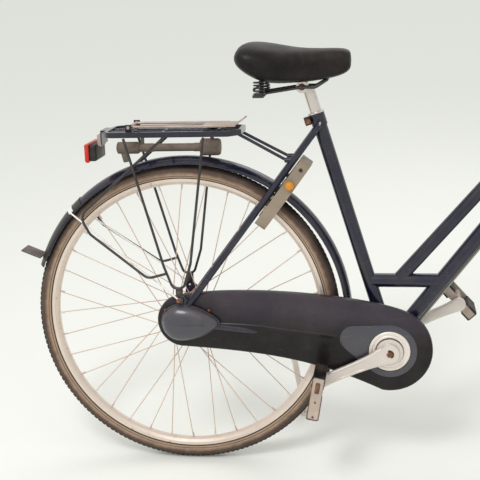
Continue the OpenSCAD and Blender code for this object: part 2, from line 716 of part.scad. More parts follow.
// ================= cranks and pedals =================
crank_in = case_y + case_t + 10;      // inner face of a crank arm
crank_t = 13;
right_eye = bb - crank_l * [cos(crank_angle), 0, sin(crank_angle)];
left_eye = bb + crank_l * [cos(crank_angle), 0, sin(crank_angle)];
pedal_in = crank_in + crank_t + 6;
module crank_axle() {
    color("gray") disc_y(bb, -crank_in + gap, crank_in - gap, spindle_d / 2);
}
module crank_arm(eye) {
    // drawn on the right-hand side, from the boss to the pedal's eye
    n = unit([eye.z - bb.z, 0, bb.x - eye.x]);
    difference() {
        union() {
            disc_y(bb, -crank_in - crank_t, -crank_in + 1, 22);
            disc_y(eye, -crank_in - crank_t, -crank_in, 15);
            translate([0, -crank_in, 0]) rotate([90, 0, 0]) linear_extrude(crank_t)
                polygon([for (q = [bb + 17 * n, eye + 12 * n, eye - 12 * n, bb - 17 * n]) [q.x, q.z]]);
            disc_y(eye, -pedal_in - pedal_w + 3, -crank_in - 1, 6);
        }
        disc_y(bb, -crank_in - crank_t - 1, -crank_in - crank_t + 4, 9);
        disc_y(bb, -crank_in + gap, -crank_in + 10, spindle_d / 2 + gap);
    }
}
module crank_right() { color("silver") crank_arm(right_eye); }
module crank_left() { color("silver") mirror([0, 1, 0]) crank_arm(left_eye); }

// A rubber-block pedal, lying along x before it is tilted
module pedal(eye, tilt) {
    translate([eye.x, 0, eye.z]) rotate([0, tilt, 0]) difference() {
        union() {
            for (s = [-1, 1]) translate([s * (pedal_l / 2 - 13) - 13, -pedal_in - pedal_w, -pedal_h / 2])
                cube([26, pedal_w, pedal_h]);
            translate([-pedal_l / 2 + 2, -pedal_in - pedal_w, -8]) cube([pedal_l - 4, 5, 16]);
            translate([-pedal_l / 2 + 2, -pedal_in - 5, -8]) cube([pedal_l - 4, 5, 16]);
            disc_y([0, 0, 0], -pedal_in - pedal_w, -pedal_in, 10);
        }
        disc_y([0, 0, 0], -pedal_in - pedal_w + 2, -pedal_in + 1, 6.2);
    }
}
right_pedal_tilt = -80;
left_pedal_tilt = 48;
module pedal_right() { color("gray") pedal(right_eye, right_pedal_tilt); }
module pedal_left() { color("gray") mirror([0, 1, 0]) pedal(left_eye, left_pedal_tilt); }

// ================= fork and steering =================
crown_s = norm(head_low - head_foot) - 8 - gap;    // along the head axis, under the lower cup
crown = on_head(crown_s);
blade_y = 41;
tip_y = 50;
tip_t = 5;
module fork() {
    color("midnightblue") {
        rod(crown - 2 * head_dir, head_high + 20 * head_dir, steerer_d);
        difference() {
            union() {
                rod(crown - 26 * head_dir, crown, head_tube_d + 2);
                rod(at_y(crown - 20 * head_dir, -blade_y), at_y(crown - 20 * head_dir, blade_y), 26);
                both_sides() bent_rod([at_y(crown - 20 * head_dir, -blade_y), at_y(on_head(190), -tip_y + 2),
                    [front_axle_p.x - 2, -tip_y - tip_t / 2, axle_z + 24]], 190, 19);
            }
        }
        both_sides() translate([0, -tip_y, 0]) rotate([90, 0, 0]) linear_extrude(tip_t) difference() {
            hull() {
                translate([front_axle_p.x, axle_z]) circle(r = 15);
                translate([front_axle_p.x - 4, axle_z + 34]) circle(r = 9);
                translate([front_axle_p.x - 16, axle_z + 14]) circle(r = 8);
            }
            translate([front_axle_p.x, axle_z]) circle(d = axle_d + 2 * gap);
            translate([front_axle_p.x - 16, axle_z + 16]) circle(d = 5.2);
        }
    }
}
module front_axle() { color("gray") axle(front_axle_p, 28, tip_y, tip_t, 18, 31 - gap); }

stem_top = on_head_at(bar_z);
bar_clamp = stem_top + [44, 0, 0];
module stem() {
    color("silver") {
        difference() {
            union() {
                rod(head_high + (9 + gap) * head_dir, head_high + 21 * head_dir, 35);
                rod(head_high + 20.5 * head_dir, stem_top, 23);
                rod(stem_top, bar_clamp, 22);
                translate(stem_top) sphere(r = 12.5);
                disc_y(bar_clamp, -20, 20, bar_d / 2 + 5);
            }
            disc_y(bar_clamp, -30, 30, bar_d / 2 + 0.05);
            rod(head_high - 9 * head_dir, head_high + (20 + gap) * head_dir, steerer_d + 2 * gap);
        }
    }
}

bar_inner = bar_clamp + [0, 40, 0];
bar_outer = bar_clamp + [30, 96, 24];
grip_dir = unit([-118, -34, -8]);
grip_end = [bar_clamp.x - 176, -bar_half_w + bar_d / 2, grip_end_z];
grip_l = 118;
grip_start = grip_end - grip_l * grip_dir;
module handlebar() {
    right = [grip_end - 4 * grip_dir, grip_end - 176 * grip_dir, flip(bar_outer), flip(bar_inner)];
    color("silver") bent_rod(concat(right, [for (i = [3 : -1 : 0]) flip(right[i])]), 26, bar_d);
}
module grips() {
    color("dimgray") both_sides() difference() {
        rod(grip_start, grip_end, 34);
        rod(grip_start - 5 * grip_dir, grip_end - (4 - gap) * grip_dir, bar_d + 2 * gap);
    }
}
lever_at = grip_start - 22 * grip_dir;
lever_knuckle = lever_at + 12 * grip_dir + [28, -10, -24];
module brake_levers() {
    color("silver") both_sides() {
        difference() {
            union() {
                rod(lever_at - 10 * grip_dir, lever_at + 10 * grip_dir, bar_d + 12);
                rod(lever_at + [6, -2, -11], lever_knuckle, 12, 9);
            }
            rod(lever_at - 20 * grip_dir, lever_at + 20 * grip_dir, bar_d + 2 * gap);
        }
        translate(lever_knuckle) sphere(d = 11);
        rod(lever_knuckle, lever_at + 112 * grip_dir + [24, -12, -36], 9, 7);
    }
}

bell_at = mid(bar_inner, bar_outer, 0.36);
bell_dir = unit(bar_outer - bar_inner);
module bell() {
    color("silver") difference() {
        union() {
            translate(bell_at + [0, 0, 19]) cylinder(d1 = 50, d2 = 34, h = 18);
            translate(bell_at + [0, 0, 12]) cylinder(d = 12, h = 8);
            rod(bell_at - 7 * bell_dir, bell_at + 7 * bell_dir, 30);
        }
        rod(bell_at - 30 * bell_dir, bell_at + 40 * bell_dir, bar_d + 2 * gap);
    }
}

lamp_at = crown + [78, 0, 20];
module headlamp() {
    color("silver") {
        rod(lamp_at - [30, 0, 0], lamp_at + [22, 0, 0], 40, 62);
        difference() {
            rod(crown + [12, 0, -10], lamp_at - [26, 0, 4], 10);
            rod(crown - 26 * head_dir, crown + 2 * head_dir, head_tube_d + 2 + 2 * gap);
        }
    }
}
module headlamp_lens() {
    color("white") rod(lamp_at + [22 + gap, 0, 0], lamp_at + [29, 0, 0], 58, 52);
}

ahead = [sin(head_angle), 0, cos(head_angle)];      // square to the steering axis, forwards
dynamo_out = 19 / 2 + 8 + 19;                       // in front of the left blade
function dynamo_at(k) = at_y(on_head(k) + dynamo_out * ahead, tyre_d / 2 + 27);
module dynamo() {
    color("silver") {
        rod(dynamo_at(205), dynamo_at(290), 38);
        rod(dynamo_at(290), dynamo_at(304), 18);
        translate([0, -9, 0]) rod(dynamo_at(304), dynamo_at(320), 24);
        rod(at_y(on_head(250) + (19 / 2 + gap + 0.3) * ahead, blade_y + 5), dynamo_at(250) - 12 * ahead, 12);
    }
}

front_guard_start = 42;
front_guard_end = 212;
module front_mudguard() {
    color("midnightblue") {
        guard_sweep(front_axle_p, front_guard_start, front_guard_end);
        c = crown - 20 * head_dir;
        u = unit(c - front_axle_p);
        rod(front_axle_p + (guard_r + gap) * u, c - (13.2 + gap) * u, 10);
    }
}
front_stay_a = 200;
module front_mudguard_stays() {
    c = [cos(front_stay_a), 0, sin(front_stay_a)];
    e = [front_axle_p.x - 16, -(tip_y + tip_t + 4), axle_z + 16];
    color("gainsboro") {
        both_sides() bent_rod([e, front_axle_p + (guard_r - 12) * c + [0, -(guard_w / 2 + 5), 0],
            front_axle_p + (guard_r - 3) * c + [0, -(guard_w / 2 + 3), 0]], 4, stay_wire_d);
        guard_sweep(front_axle_p, front_stay_a - 1, front_stay_a + 1, gap + 1.6, 1.6);
        both_sides() disc_y(e, -(tip_y + tip_t + 8), -(tip_y - 2), 2.5);
    }
}

module front_brake() {
    color("gray") difference() {
        union() {
            disc_y(front_axle_p, 31, 41, 34);
            hull() {
                disc_y(front_axle_p, 38, 42, 14);
                disc_y([front_axle_p.x - 28, 0, axle_z + 96], 38, 42, 7);
            }
        }
        disc_y(front_axle_p, 20, 90, axle_d / 2 + gap);
    }
}

// ================= cables =================
cable_d = 5;
// Where a point lies beside the down tube: t along it, out from its axis at angle a, 0 straight below
function by_down_tube(t, a, out) = mid(bb, down_top, t)
    + out * (cos(a) * [down_dir.z, 0, -down_dir.x] + sin(a) * [0, -1, 0]);
cable_out = down_tube_d / 2 + cable_d / 2 + gap;
cable_top = by_down_tube(0.86, 0, cable_out);
module rear_brake_cable() {
    color("gainsboro") bent_rod([cable_top, by_down_tube(0.12, 0, cable_out), bb + [36, 6, 13],
        bb + [20, 11, -20],
        bb + [-8, 18, -28], [398, 43, 280], [340, 48, 297], chainstay_at(262) + [0, 17, 0],
        chainstay_at(190) + [0, 17, 0], [160, 57, 313], [132, 51 + cable_d / 2 + gap, 312]], 12, cable_d);
}
function off_lever(p, to) = p + 6 * unit(to - p);
module front_brake_cable() {
    a = [bar_clamp.x + 52, 196, bar_z - 20];
    color("gainsboro") bent_rod([off_lever(flip(lever_knuckle), a), a, [bar_clamp.x + 70, 90, bar_z - 110],
        at_y(on_head(400), blade_y + 22), at_y(on_head(300), blade_y + 17), at_y(on_head(190), tip_y + 12),
        [front_axle_p.x - 36, 56, axle_z + 116],
        [front_axle_p.x - 30, 42 + cable_d / 2 + gap, axle_z + 100]], 24, cable_d);
}
module steering_cable_loop() {
    a = [bar_clamp.x + 52, -196, bar_z - 20];
    color("gainsboro") bent_rod([off_lever(lever_knuckle, a), a, [bar_clamp.x + 66, -90, bar_z - 100],
        [bar_clamp.x + 18, -50, bar_z - 172], [bar_clamp.x - 8, -36, bar_z - 232],
        by_down_tube(0.93, 30, cable_out + 12),
        cable_top + (0.6 + gap) * down_dir], 24, cable_d);
}

module piece(name) {
    parked() children();
}
piece("frame_tubes") frame_tubes();
piece("rear_triangle") rear_triangle();
piece("bottom_bracket") bottom_bracket();
piece("headset") headset();
piece("seat_post") seat_post();
piece("seat_bolt") seat_bolt();
piece("saddle") saddle();
piece("saddle_springs") saddle_springs();
piece("rear_mudguard") rear_mudguard();
piece("mudguard_tail") mudguard_tail();
piece("mudguard_flap") mudguard_flap();
piece("rear_mudguard_stay") rear_mudguard_stay();
piece("carrier") carrier();
piece("carrier_legs") carrier_legs();
piece("carrier_clip") carrier_clip();
piece("tail_light") tail_light();
piece("tail_light_lens") tail_light_lens();
piece("pump") pump();
piece("ring_lock") ring_lock();
piece("lock_key") lock_key();
piece("chaincase") chaincase();
piece("chaincase_cap") chaincase_cap();
piece("chaincase_ring") chaincase_ring();
piece("rear_axle") rear_axle();
piece("rear_brake") rear_brake();
piece("rear_brake_cable") rear_brake_cable();
piece("stand_bracket") stand_bracket();
piece("stand_leg") stand_leg();
piece("rear_tyre") rear_tyre();
piece("rear_rim") rear_rim();
piece("rear_spokes") rear_spokes();
piece("rear_hub") rear_hub();
piece("crank_axle") crank_axle();
piece("crank_right") crank_right();
piece("crank_left") crank_left();
piece("pedal_right") pedal_right();
piece("pedal_left") pedal_left();
piece("fork") fork();
piece("stem") stem();
piece("handlebar") handlebar();
piece("grips") grips();
piece("brake_levers") brake_levers();
piece("bell") bell();
piece("headlamp") headlamp();
piece("headlamp_lens") headlamp_lens();
piece("dynamo") dynamo();
piece("front_mudguard") front_mudguard();
piece("front_mudguard_stays") front_mudguard_stays();
piece("front_axle") front_axle();
piece("front_brake") front_brake();
piece("front_brake_cable") front_brake_cable();
piece("steering_cable_loop") steering_cable_loop();
piece("front_tyre") front_tyre();
piece("front_rim") front_rim();
piece("front_spokes") front_spokes();
piece("front_hub") front_hub();
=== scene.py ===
# %% [markdown]
# A worn step-through city bicycle leans on its side stand.
# %% Load the frame
import json
import math
import bmesh
import bpy
from mathutils import Matrix, Vector


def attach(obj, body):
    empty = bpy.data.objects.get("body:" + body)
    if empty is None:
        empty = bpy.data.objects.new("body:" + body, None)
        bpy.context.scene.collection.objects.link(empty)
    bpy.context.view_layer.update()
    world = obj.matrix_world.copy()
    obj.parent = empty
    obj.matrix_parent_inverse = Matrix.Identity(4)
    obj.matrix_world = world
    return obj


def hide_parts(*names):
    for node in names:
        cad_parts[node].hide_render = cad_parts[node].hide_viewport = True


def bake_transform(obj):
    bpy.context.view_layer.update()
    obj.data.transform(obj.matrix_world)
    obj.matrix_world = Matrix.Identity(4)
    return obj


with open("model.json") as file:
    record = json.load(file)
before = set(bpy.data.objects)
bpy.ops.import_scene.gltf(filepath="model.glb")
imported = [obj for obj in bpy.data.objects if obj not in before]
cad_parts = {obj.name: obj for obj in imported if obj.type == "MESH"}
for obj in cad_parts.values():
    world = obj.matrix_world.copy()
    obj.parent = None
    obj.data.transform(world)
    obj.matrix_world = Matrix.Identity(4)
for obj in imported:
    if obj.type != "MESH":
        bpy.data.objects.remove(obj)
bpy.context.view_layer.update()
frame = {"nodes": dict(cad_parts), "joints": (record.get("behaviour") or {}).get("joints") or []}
nodes = frame["nodes"]
scene = bpy.context.scene
print("engineering nodes:", len(nodes))

# %% [markdown]
# The bicycle stands askew: it leans to its left, about the line where its tyres meet the floor.
# Modelling is far easier upright, with x forward from the rear axle, y to the left and z up, in
# millimetres. So one matrix takes upright places to places on the floor. It is read from the rear
# wheel's joint, whose axis shows the lean.
# %% The lean
GAP = 0.3
WHEEL_R = 348.0
joints = {joint["name"]: joint for joint in frame["joints"]}
wheel_axis = Vector(joints["rear_wheel_spin"]["axis"])
lean = math.atan2(-wheel_axis.z, wheel_axis.y)
hub_place = Vector(joints["rear_wheel_spin"]["pos_m"])
PARKED = (Matrix.Translation(hub_place) @ Matrix.Rotation(-lean, 4, "X")
          @ Matrix.Scale(0.001, 4) @ Matrix.Translation((0, 0, -WHEEL_R)))
UPRIGHT = PARKED.inverted()


def at(x, y, z):
    """An upright place in millimetres, as a place on the floor in metres."""
    return PARKED @ Vector((x, y, z))


def joint_place(name):
    """Where a joint sits, upright and in millimetres."""
    return UPRIGHT @ Vector(joints[name]["pos_m"])


REAR_AXLE = Vector((0, 0, WHEEL_R))
FRONT_AXLE = joint_place("front_wheel_spin")
BB = joint_place("crank_turn")
RIGHT_EYE = joint_place("pedal_right_spin")
LEFT_EYE = joint_place("pedal_left_spin")
print("lean %.1f degrees, wheelbase %.0f mm" % (math.degrees(lean), FRONT_AXLE.x))

# %% [markdown]
# The camera comes early, so that every later step can be judged from it. It stands on the drive
# side, a little above the saddle, and a long lens keeps the wheel round. Its aim is three plain
# angles: how far it turns, looks down and tilts.
# %% Camera
eye = at(462.8, -2282.7, 1082.5)
yaw, pitch, roll = (math.radians(angle) for angle in (-8.394, 13.651, 1.982))
ahead = Vector((math.sin(yaw) * math.cos(pitch), math.cos(yaw) * math.cos(pitch), -math.sin(pitch)))
side = Vector((math.cos(yaw), -math.sin(yaw), 0))
down = ahead.cross(side)
right = side * math.cos(roll) + down * math.sin(roll)
below = down * math.cos(roll) - side * math.sin(roll)
aim = PARKED.to_3x3().normalized() @ Matrix((right, -below, -ahead)).transposed()
camera = bpy.data.objects.new("camera", bpy.data.cameras.new("camera"))
camera.data.lens = 79.8
camera.data.sensor_width = 36
camera.data.clip_end = 50
camera.matrix_world = Matrix.Translation(eye) @ aim.to_4x4()
scene.collection.objects.link(camera)
scene.camera = camera
print("camera stands %.2f m from the bottom bracket" % (eye - at(*BB)).length)

# %% [markdown]
# Materials are trees of nodes. Two small helpers keep the trees short to read: one adds a node and
# wires what it is given, and one does arithmetic. A socket in the inputs is linked, and a plain
# value is typed in.
# %% Node helpers
def put(tree, kind, inputs=None, **settings):
    """Adds a node to a tree, sets it, and links or fills its inputs."""
    node = tree.nodes.new(kind)
    for name, value in settings.items():
        setattr(node, name, value)
    for key, value in (inputs or {}).items():
        socket = node.inputs[key]
        if isinstance(value, bpy.types.NodeSocket):
            tree.links.new(value, socket)
        else:
            socket.default_value = value
    return node


def first(tree, kind, inputs=None, **settings):
    """Adds a node in the same way, and gives back its first output."""
    return put(tree, kind, inputs, **settings).outputs[0]


def maths(tree, operation, a, b=0.0, clamp=False):
    """One sum on numbers."""
    return first(tree, "ShaderNodeMath", {0: a, 1: b}, operation=operation, use_clamp=clamp)


def plus(tree, a, b):
    """Two numbers added."""
    return maths(tree, "ADD", a, b)


def times(tree, a, b, clamp=False):
    """Two numbers multiplied."""
    return maths(tree, "MULTIPLY", a, b, clamp)


def blend_colour(tree, amount, under, over):
    """Lays one colour over another, by a mask from 0 to 1."""
    return put(tree, "ShaderNodeMix", {0: amount, 6: under, 7: over}, data_type="RGBA").outputs[2]


def ramp(tree, value, low, high, to_low=0.0, to_high=1.0):
    """Stretches the part of a value between low and high to a new range, and clips the rest."""
    return first(tree, "ShaderNodeMapRange", {0: value, 1: low, 2: high, 3: to_low, 4: to_high})


def noise(tree, place, scale, detail=4.0, roughness=0.55):
    """A cloudy noise at a place, between about 0.3 and 0.7."""
    cloud = put(tree, "ShaderNodeTexNoise", {"Vector": place, "Scale": scale, "Detail": detail,
                                             "Roughness": roughness})
    return cloud.outputs["Fac"]


def new_group(name, ins, outs):
    """An empty shader group with named sockets."""
    group = bpy.data.node_groups.new(name, "ShaderNodeTree")
    for label, kind, value in ins:
        socket = group.interface.new_socket(label, in_out="INPUT", socket_type="NodeSocket" + kind)
        if value is not None:
            socket.default_value = value
    for label, kind in outs:
        group.interface.new_socket(label, in_out="OUTPUT", socket_type="NodeSocket" + kind)
    return group, group.nodes.new("NodeGroupInput").outputs, group.nodes.new("NodeGroupOutput").inputs


def use(tree, group, inputs):
    """Places a shader group in a tree, and gives back its outputs."""
    return put(tree, "ShaderNodeGroup", inputs, node_tree=group).outputs


def rgb(red, green, blue):
    """A colour written as it looks on a screen, from 0 to 255, made linear."""
    return tuple((v / 255) ** 2.2 for v in (red, green, blue)) + (1.0,)


print("helpers ready")

# %% [markdown]
# Rust starts as pin-pricks and grows into blisters with ragged rims. It could be painted by hand,
# but a rule covers every tube alike: one broad cloud says where the weather got in, and a fine
# cloud breaks its edge. The group gives the mask, two browns mixed by a third cloud, and a height
# for the crust. It is built once and every metal places it with its own size and amount.
# %% Rust group
tree, ins, outs = new_group(
    "rust_bloom",
    [("Place", "Vector", None), ("Size", "Float", 60.0), ("Amount", "Float", 0.3), ("Extra", "Float", 0.0)],
    [("Mask", "Float"), ("Colour", "Color"), ("Height", "Float")])
broad = noise(tree, ins["Place"], ins["Size"], 3.0)
fine_size = times(tree, ins["Size"], 9.0)
fine = noise(tree, ins["Place"], fine_size, 6.0, 0.7)
clouds = plus(tree, times(tree, broad, 0.62), times(tree, fine, 0.38))
push = plus(tree, clouds, times(tree, ins["Extra"], 0.22))
level = maths(tree, "SUBTRACT", 0.78, times(tree, ins["Amount"], 0.42))
over = maths(tree, "SUBTRACT", push, level)
mask = ramp(tree, over, 0.0, 0.05)
tint = noise(tree, ins["Place"], times(tree, ins["Size"], 3.0), 5.0)
deep = blend_colour(tree, ramp(tree, tint, 0.38, 0.62), rgb(92, 52, 30), rgb(166, 96, 52))
tree.links.new(mask, outs["Mask"])
tree.links.new(deep, outs["Colour"])
tree.links.new(times(tree, mask, fine), outs["Height"])
rust_group = tree
print("rust group with", len(tree.nodes), "nodes")

# %% [markdown]
# Dust settles where a surface faces the sky and in whatever the rain leaves alone. The group reads
# how far the surface faces up in the object's own frame, so that a turning part carries its dust
# along, and breaks it with two clouds.
# %% Dust group
tree, ins, outs = new_group(
    "road_dust",
    [("Place", "Vector", None), ("Facing", "Vector", None), ("Amount", "Float", 0.3),
     ("Size", "Float", 14.0)],
    [("Mask", "Float"), ("Colour", "Color")])
up = put(tree, "ShaderNodeSeparateXYZ", {0: ins["Facing"]}).outputs[2]
lying = ramp(tree, up, -0.6, 1.0, 0.25, 1.0)
cloud = ramp(tree, noise(tree, ins["Place"], ins["Size"], 6.0, 0.65), 0.38, 0.68)
specks = ramp(tree, noise(tree, ins["Place"], 900.0, 2.0), 0.42, 0.62, 0.6, 1.0)
film = times(tree, times(tree, lying, cloud), specks)
tree.links.new(times(tree, film, ins["Amount"], clamp=True), outs["Mask"])
tone = ramp(tree, noise(tree, ins["Place"], 30.0, 3.0), 0.35, 0.65)
tree.links.new(blend_colour(tree, tone, rgb(150, 128, 106), rgb(186, 168, 146)), outs["Colour"])
dust_group = tree
print("dust group with", len(tree.nodes), "nodes")

# %% [markdown]
# Paint and plating wear first where an edge stands proud. A bevel node rounds the shading near an
# edge, so where its direction differs from the true one there is an edge. A cloud keeps the wear
# from running in a clean line.
# %% Edge wear group
tree, ins, outs = new_group(
    "edge_wear",
    [("Place", "Vector", None), ("Width", "Float", 0.0012), ("Amount", "Float", 0.5)],
    [("Mask", "Float")])
rounded = first(tree, "ShaderNodeBevel", {"Radius": ins["Width"]}, samples=4)
true = put(tree, "ShaderNodeNewGeometry").outputs["Normal"]
same = put(tree, "ShaderNodeVectorMath", {0: rounded, 1: true}, operation="DOT_PRODUCT").outputs["Value"]
edge = ramp(tree, maths(tree, "SUBTRACT", 1.0, same), 0.02, 0.16)
ragged = ramp(tree, noise(tree, ins["Place"], 160.0, 5.0, 0.7), 0.42, 0.58)
worn = times(tree, times(tree, edge, ragged), ins["Amount"], clamp=True)
tree.links.new(worn, outs["Mask"])
wear_group = tree
print("edge wear group with", len(tree.nodes), "nodes")

# %% [markdown]
# Nothing old has one even colour or shine. This last group puts out a slow tone, a fine grain for
# the bump, and thin scratches: a noise squeezed flat along one axis, so that its spots become
# lines.
# %% Grain group
tree, ins, outs = new_group(
    "grain_and_scratches",
    [("Place", "Vector", None), ("Grain Size", "Float", 700.0)],
    [("Tone", "Float"), ("Grain", "Float"), ("Scratches", "Float")])
tree.links.new(ramp(tree, noise(tree, ins["Place"], 9.0, 5.0, 0.6), 0.3, 0.7), outs["Tone"])
tree.links.new(noise(tree, ins["Place"], ins["Grain Size"], 3.0), outs["Grain"])
flat = first(tree, "ShaderNodeMapping", {"Vector": ins["Place"], "Scale": (0.12, 1.0, 2.0),
                                         "Rotation": (0.3, 0.5, 0.2)})
lines = ramp(tree, noise(tree, flat, 420.0, 2.0, 0.4), 0.64, 0.70)
broken = ramp(tree, noise(tree, ins["Place"], 35.0, 3.0), 0.5, 0.62)
tree.links.new(times(tree, lines, broken), outs["Scratches"])
grain_group = tree
print("grain group with", len(tree.nodes), "nodes")

# %% [markdown]
# Every finish on the bicycle is a base colour that has aged in the same ways, so one function
# lays them in order: a slow change of tone, scratches, wear at the edges, rust, and dust over
# all. The Principled shader stays in the material, with what never varies typed on its sockets.
# %% One way to age a surface
MATERIALS = {}
DIRT_ROUGH = 0.85


def aged(name, base, worn=None, metal=0.0, rough=0.4, rust=(60.0, 0.0), dust=(14.0, 0.3), wear=0.0,
         tone=0.3, scratches=0.3, grain=(700.0, 0.05), coat=0.0, coat_rough=0.1, shine=0.5,
         pattern=None):
    """A material: base colour, what shows where it wears, and how far it rusts and dusts."""
    material = bpy.data.materials.new(name)
    material.use_nodes = True
    tree = material.node_tree
    tree.nodes.clear()
    coords = put(tree, "ShaderNodeTexCoord").outputs
    place = coords["Object"]
    under = worn or tuple(min(1.0, v * 2.2 + 0.05) for v in base[:3]) + (1.0,)
    grains = use(tree, grain_group, {"Place": place, "Grain Size": grain[0]})
    relief = times(tree, grains["Grain"], grain[1])
    surface = base
    if pattern:
        surface, lift = pattern(tree, coords)
        relief = plus(tree, relief, lift)
    faded = first(tree, "ShaderNodeHueSaturation", {"Value": 1.0 - tone, "Color": surface})
    surface = blend_colour(tree, grains["Tone"], surface, faded)
    surface = blend_colour(tree, times(tree, grains["Scratches"], scratches), surface, under)
    proud = 0.0
    if wear:
        proud = use(tree, wear_group, {"Place": place, "Amount": wear})["Mask"]
        surface = blend_colour(tree, proud, surface, under)
    rusted = use(tree, rust_group, {"Place": place, "Size": rust[0], "Amount": rust[1],
                                    "Extra": proud})
    surface = blend_colour(tree, rusted["Mask"], surface, rusted["Colour"])
    relief = plus(tree, relief, times(tree, rusted["Height"], 0.5))
    dusted = use(tree, dust_group, {"Place": place, "Facing": coords["Normal"],
                                    "Amount": dust[1], "Size": dust[0]})
    surface = blend_colour(tree, dusted["Mask"], surface, dusted["Colour"])
    dull = maths(tree, "MAXIMUM", rusted["Mask"], dusted["Mask"])
    uneven = ramp(tree, grains["Tone"], 0, 1, rough * 0.8, min(1.0, rough * 1.35))
    shader = put(tree, "ShaderNodeBsdfPrincipled", {
        "Base Color": surface, "Roughness": ramp(tree, dull, 0, 1, uneven, DIRT_ROUGH),
        "Specular IOR Level": shine})
    if metal:
        tree.links.new(ramp(tree, dull, 0, 1, metal, 0.0), shader.inputs["Metallic"])
    if coat:
        shader.inputs["Coat Roughness"].default_value = coat_rough
        tree.links.new(ramp(tree, dull, 0, 1, coat, 0.0), shader.inputs["Coat Weight"])
    bump = put(tree, "ShaderNodeBump", {"Strength": 0.6, "Distance": 0.001, "Height": relief})
    tree.links.new(bump.outputs[0], shader.inputs["Normal"])
    put(tree, "ShaderNodeOutputMaterial", {"Surface": shader.outputs[0]})
    MATERIALS[name] = material
    return material


# %% [markdown]
# Paint first: a near-black navy enamel under a clear coat, chipped to primer at the edges, with
# rust where the chips were left. The chaincase is moulded plastic, less blue, with softer shine, and a
# painted highlight makes its upper part lighter than its lower.
# %% Paint and plastic
def painted_highlight_above(tree, coords):
    """Dark plastic with a painted highlight: lighter above the crease of the case, dark below it."""
    x, _, z = put(tree, "ShaderNodeSeparateXYZ", {0: coords["Object"]}).outputs
    height = plus(tree, z, times(tree, x, 0.11))
    cloud = times(tree, noise(tree, coords["Object"], 12.0, 5.0, 0.6), 0.05)
    # the lighter colour above the crease is a painted highlight, where light falls on the top of the case
    faded = ramp(tree, plus(tree, height, cloud), 0.322, 0.378)
    return blend_colour(tree, faded, rgb(16, 13, 18), rgb(62, 56, 66)), 0.0


navy = aged("navy_enamel", rgb(15, 20, 48), worn=rgb(104, 90, 80), rough=0.26, rust=(70, 0.3),
            dust=(12, 0.1), wear=0.5, tone=0.4, scratches=0.5, grain=(90, 0.03), shine=0.3, coat=0.7,
            coat_rough=0.06)
case_plastic = aged("case_plastic", rgb(24, 20, 25), worn=rgb(92, 84, 84), rough=0.32, dust=(7, 0.1),
                    wear=0.5, tone=0.4, scratches=0.35, grain=(500, 0.04), shine=0.25, coat=0.15,
                    coat_rough=0.12, pattern=painted_highlight_above)
cap_plastic = aged("cap_plastic", rgb(60, 60, 72), worn=rgb(112, 108, 110), rough=0.3, dust=(9, 0.16),
                   wear=0.3, tone=0.3, scratches=0.5, grain=(500, 0.03), coat=0.6, coat_rough=0.15)
black_plastic = aged("black_plastic", rgb(24, 23, 24), rough=0.45, dust=(16, 0.25), wear=0.3)
sleeve_plastic = aged("sleeve_plastic", rgb(18, 18, 21), rough=0.35, dust=(18, 0.15), wear=0.3, coat=0.4)
pump_plastic = aged("pump_plastic", rgb(112, 98, 88), rough=0.5, dust=(20, 0.5), wear=0.4, tone=0.35)
lock_plastic = aged("lock_plastic", rgb(150, 136, 118), worn=rgb(196, 184, 160), rough=0.5, rust=(60, 0.12),
                    dust=(20, 0.45), wear=0.4)
flap_rubber = aged("flap_rubber", rgb(96, 90, 88), rough=0.6, dust=(24, 0.6), wear=0.3)
orange_knob = aged("orange_knob", rgb(232, 150, 40), worn=rgb(245, 190, 100), rough=0.4, dust=(40, 0.15))
print("paints and plastics:", len(MATERIALS))

# %% [markdown]
# Then the metals. Chrome and alloy here have gone pale and warm under a skin of oxide, so each is
# a bright metal with a rough, tinted surface and its own amount of rust. Spokes rust most: their
# thin plating is gone.
# %% Metals
chrome = aged("tarnished_chrome", rgb(230, 222, 214), worn=rgb(170, 150, 130), metal=0.85, rough=0.24,
              rust=(90, 0.3), dust=(16, 0.2), tone=0.2, grain=(900, 0.02))
bright_ring = aged("bright_ring", rgb(244, 234, 224), worn=rgb(214, 196, 176), metal=0.4, rough=0.4,
                   rust=(90, 0.2), dust=(16, 0.12), tone=0.08, scratches=0.5, grain=(900, 0.03))
rim_chrome = aged("rim_chrome", rgb(238, 222, 208), worn=rgb(200, 172, 148), metal=0.55, rough=0.36,
                  rust=(40, 0.38), dust=(10, 0.3), tone=0.12, grain=(600, 0.04))
alloy = aged("scuffed_alloy", rgb(232, 222, 214), worn=rgb(246, 242, 238), metal=0.5, rough=0.34,
             dust=(14, 0.2), wear=0.5, scratches=0.5, tone=0.15, rust=(120, 0.12), grain=(1100, 0.05))
steel = aged("rusty_steel", rgb(104, 90, 80), metal=0.6, rough=0.5, rust=(80, 0.74), dust=(20, 0.25),
             grain=(400, 0.12))
spoke_wire = aged("rusty_spoke", rgb(222, 190, 172), worn=rgb(190, 150, 128), metal=0.3, rough=0.5,
                  rust=(45, 0.36), dust=(9, 0.3), tone=0.15)
dull_alloy = aged("dull_alloy", rgb(204, 186, 172), worn=rgb(206, 198, 188), metal=0.5, rough=0.5,
                  rust=(60, 0.25), dust=(18, 0.45), wear=0.4)
stay_wire = aged("bright_stay", rgb(250, 248, 242), metal=0.2, rough=0.25, rust=(70, 0.16), dust=(16, 0.1),
                 tone=0.05)
black_wire = aged("black_wire", rgb(24, 25, 32), worn=rgb(120, 100, 84), rough=0.35, rust=(90, 0.36),
                  dust=(18, 0.2), wear=0.4, coat=0.5)
sheath = aged("cable_sheath", rgb(168, 162, 150), rough=0.5, dust=(20, 0.6))
print("finishes so far:", len(MATERIALS))

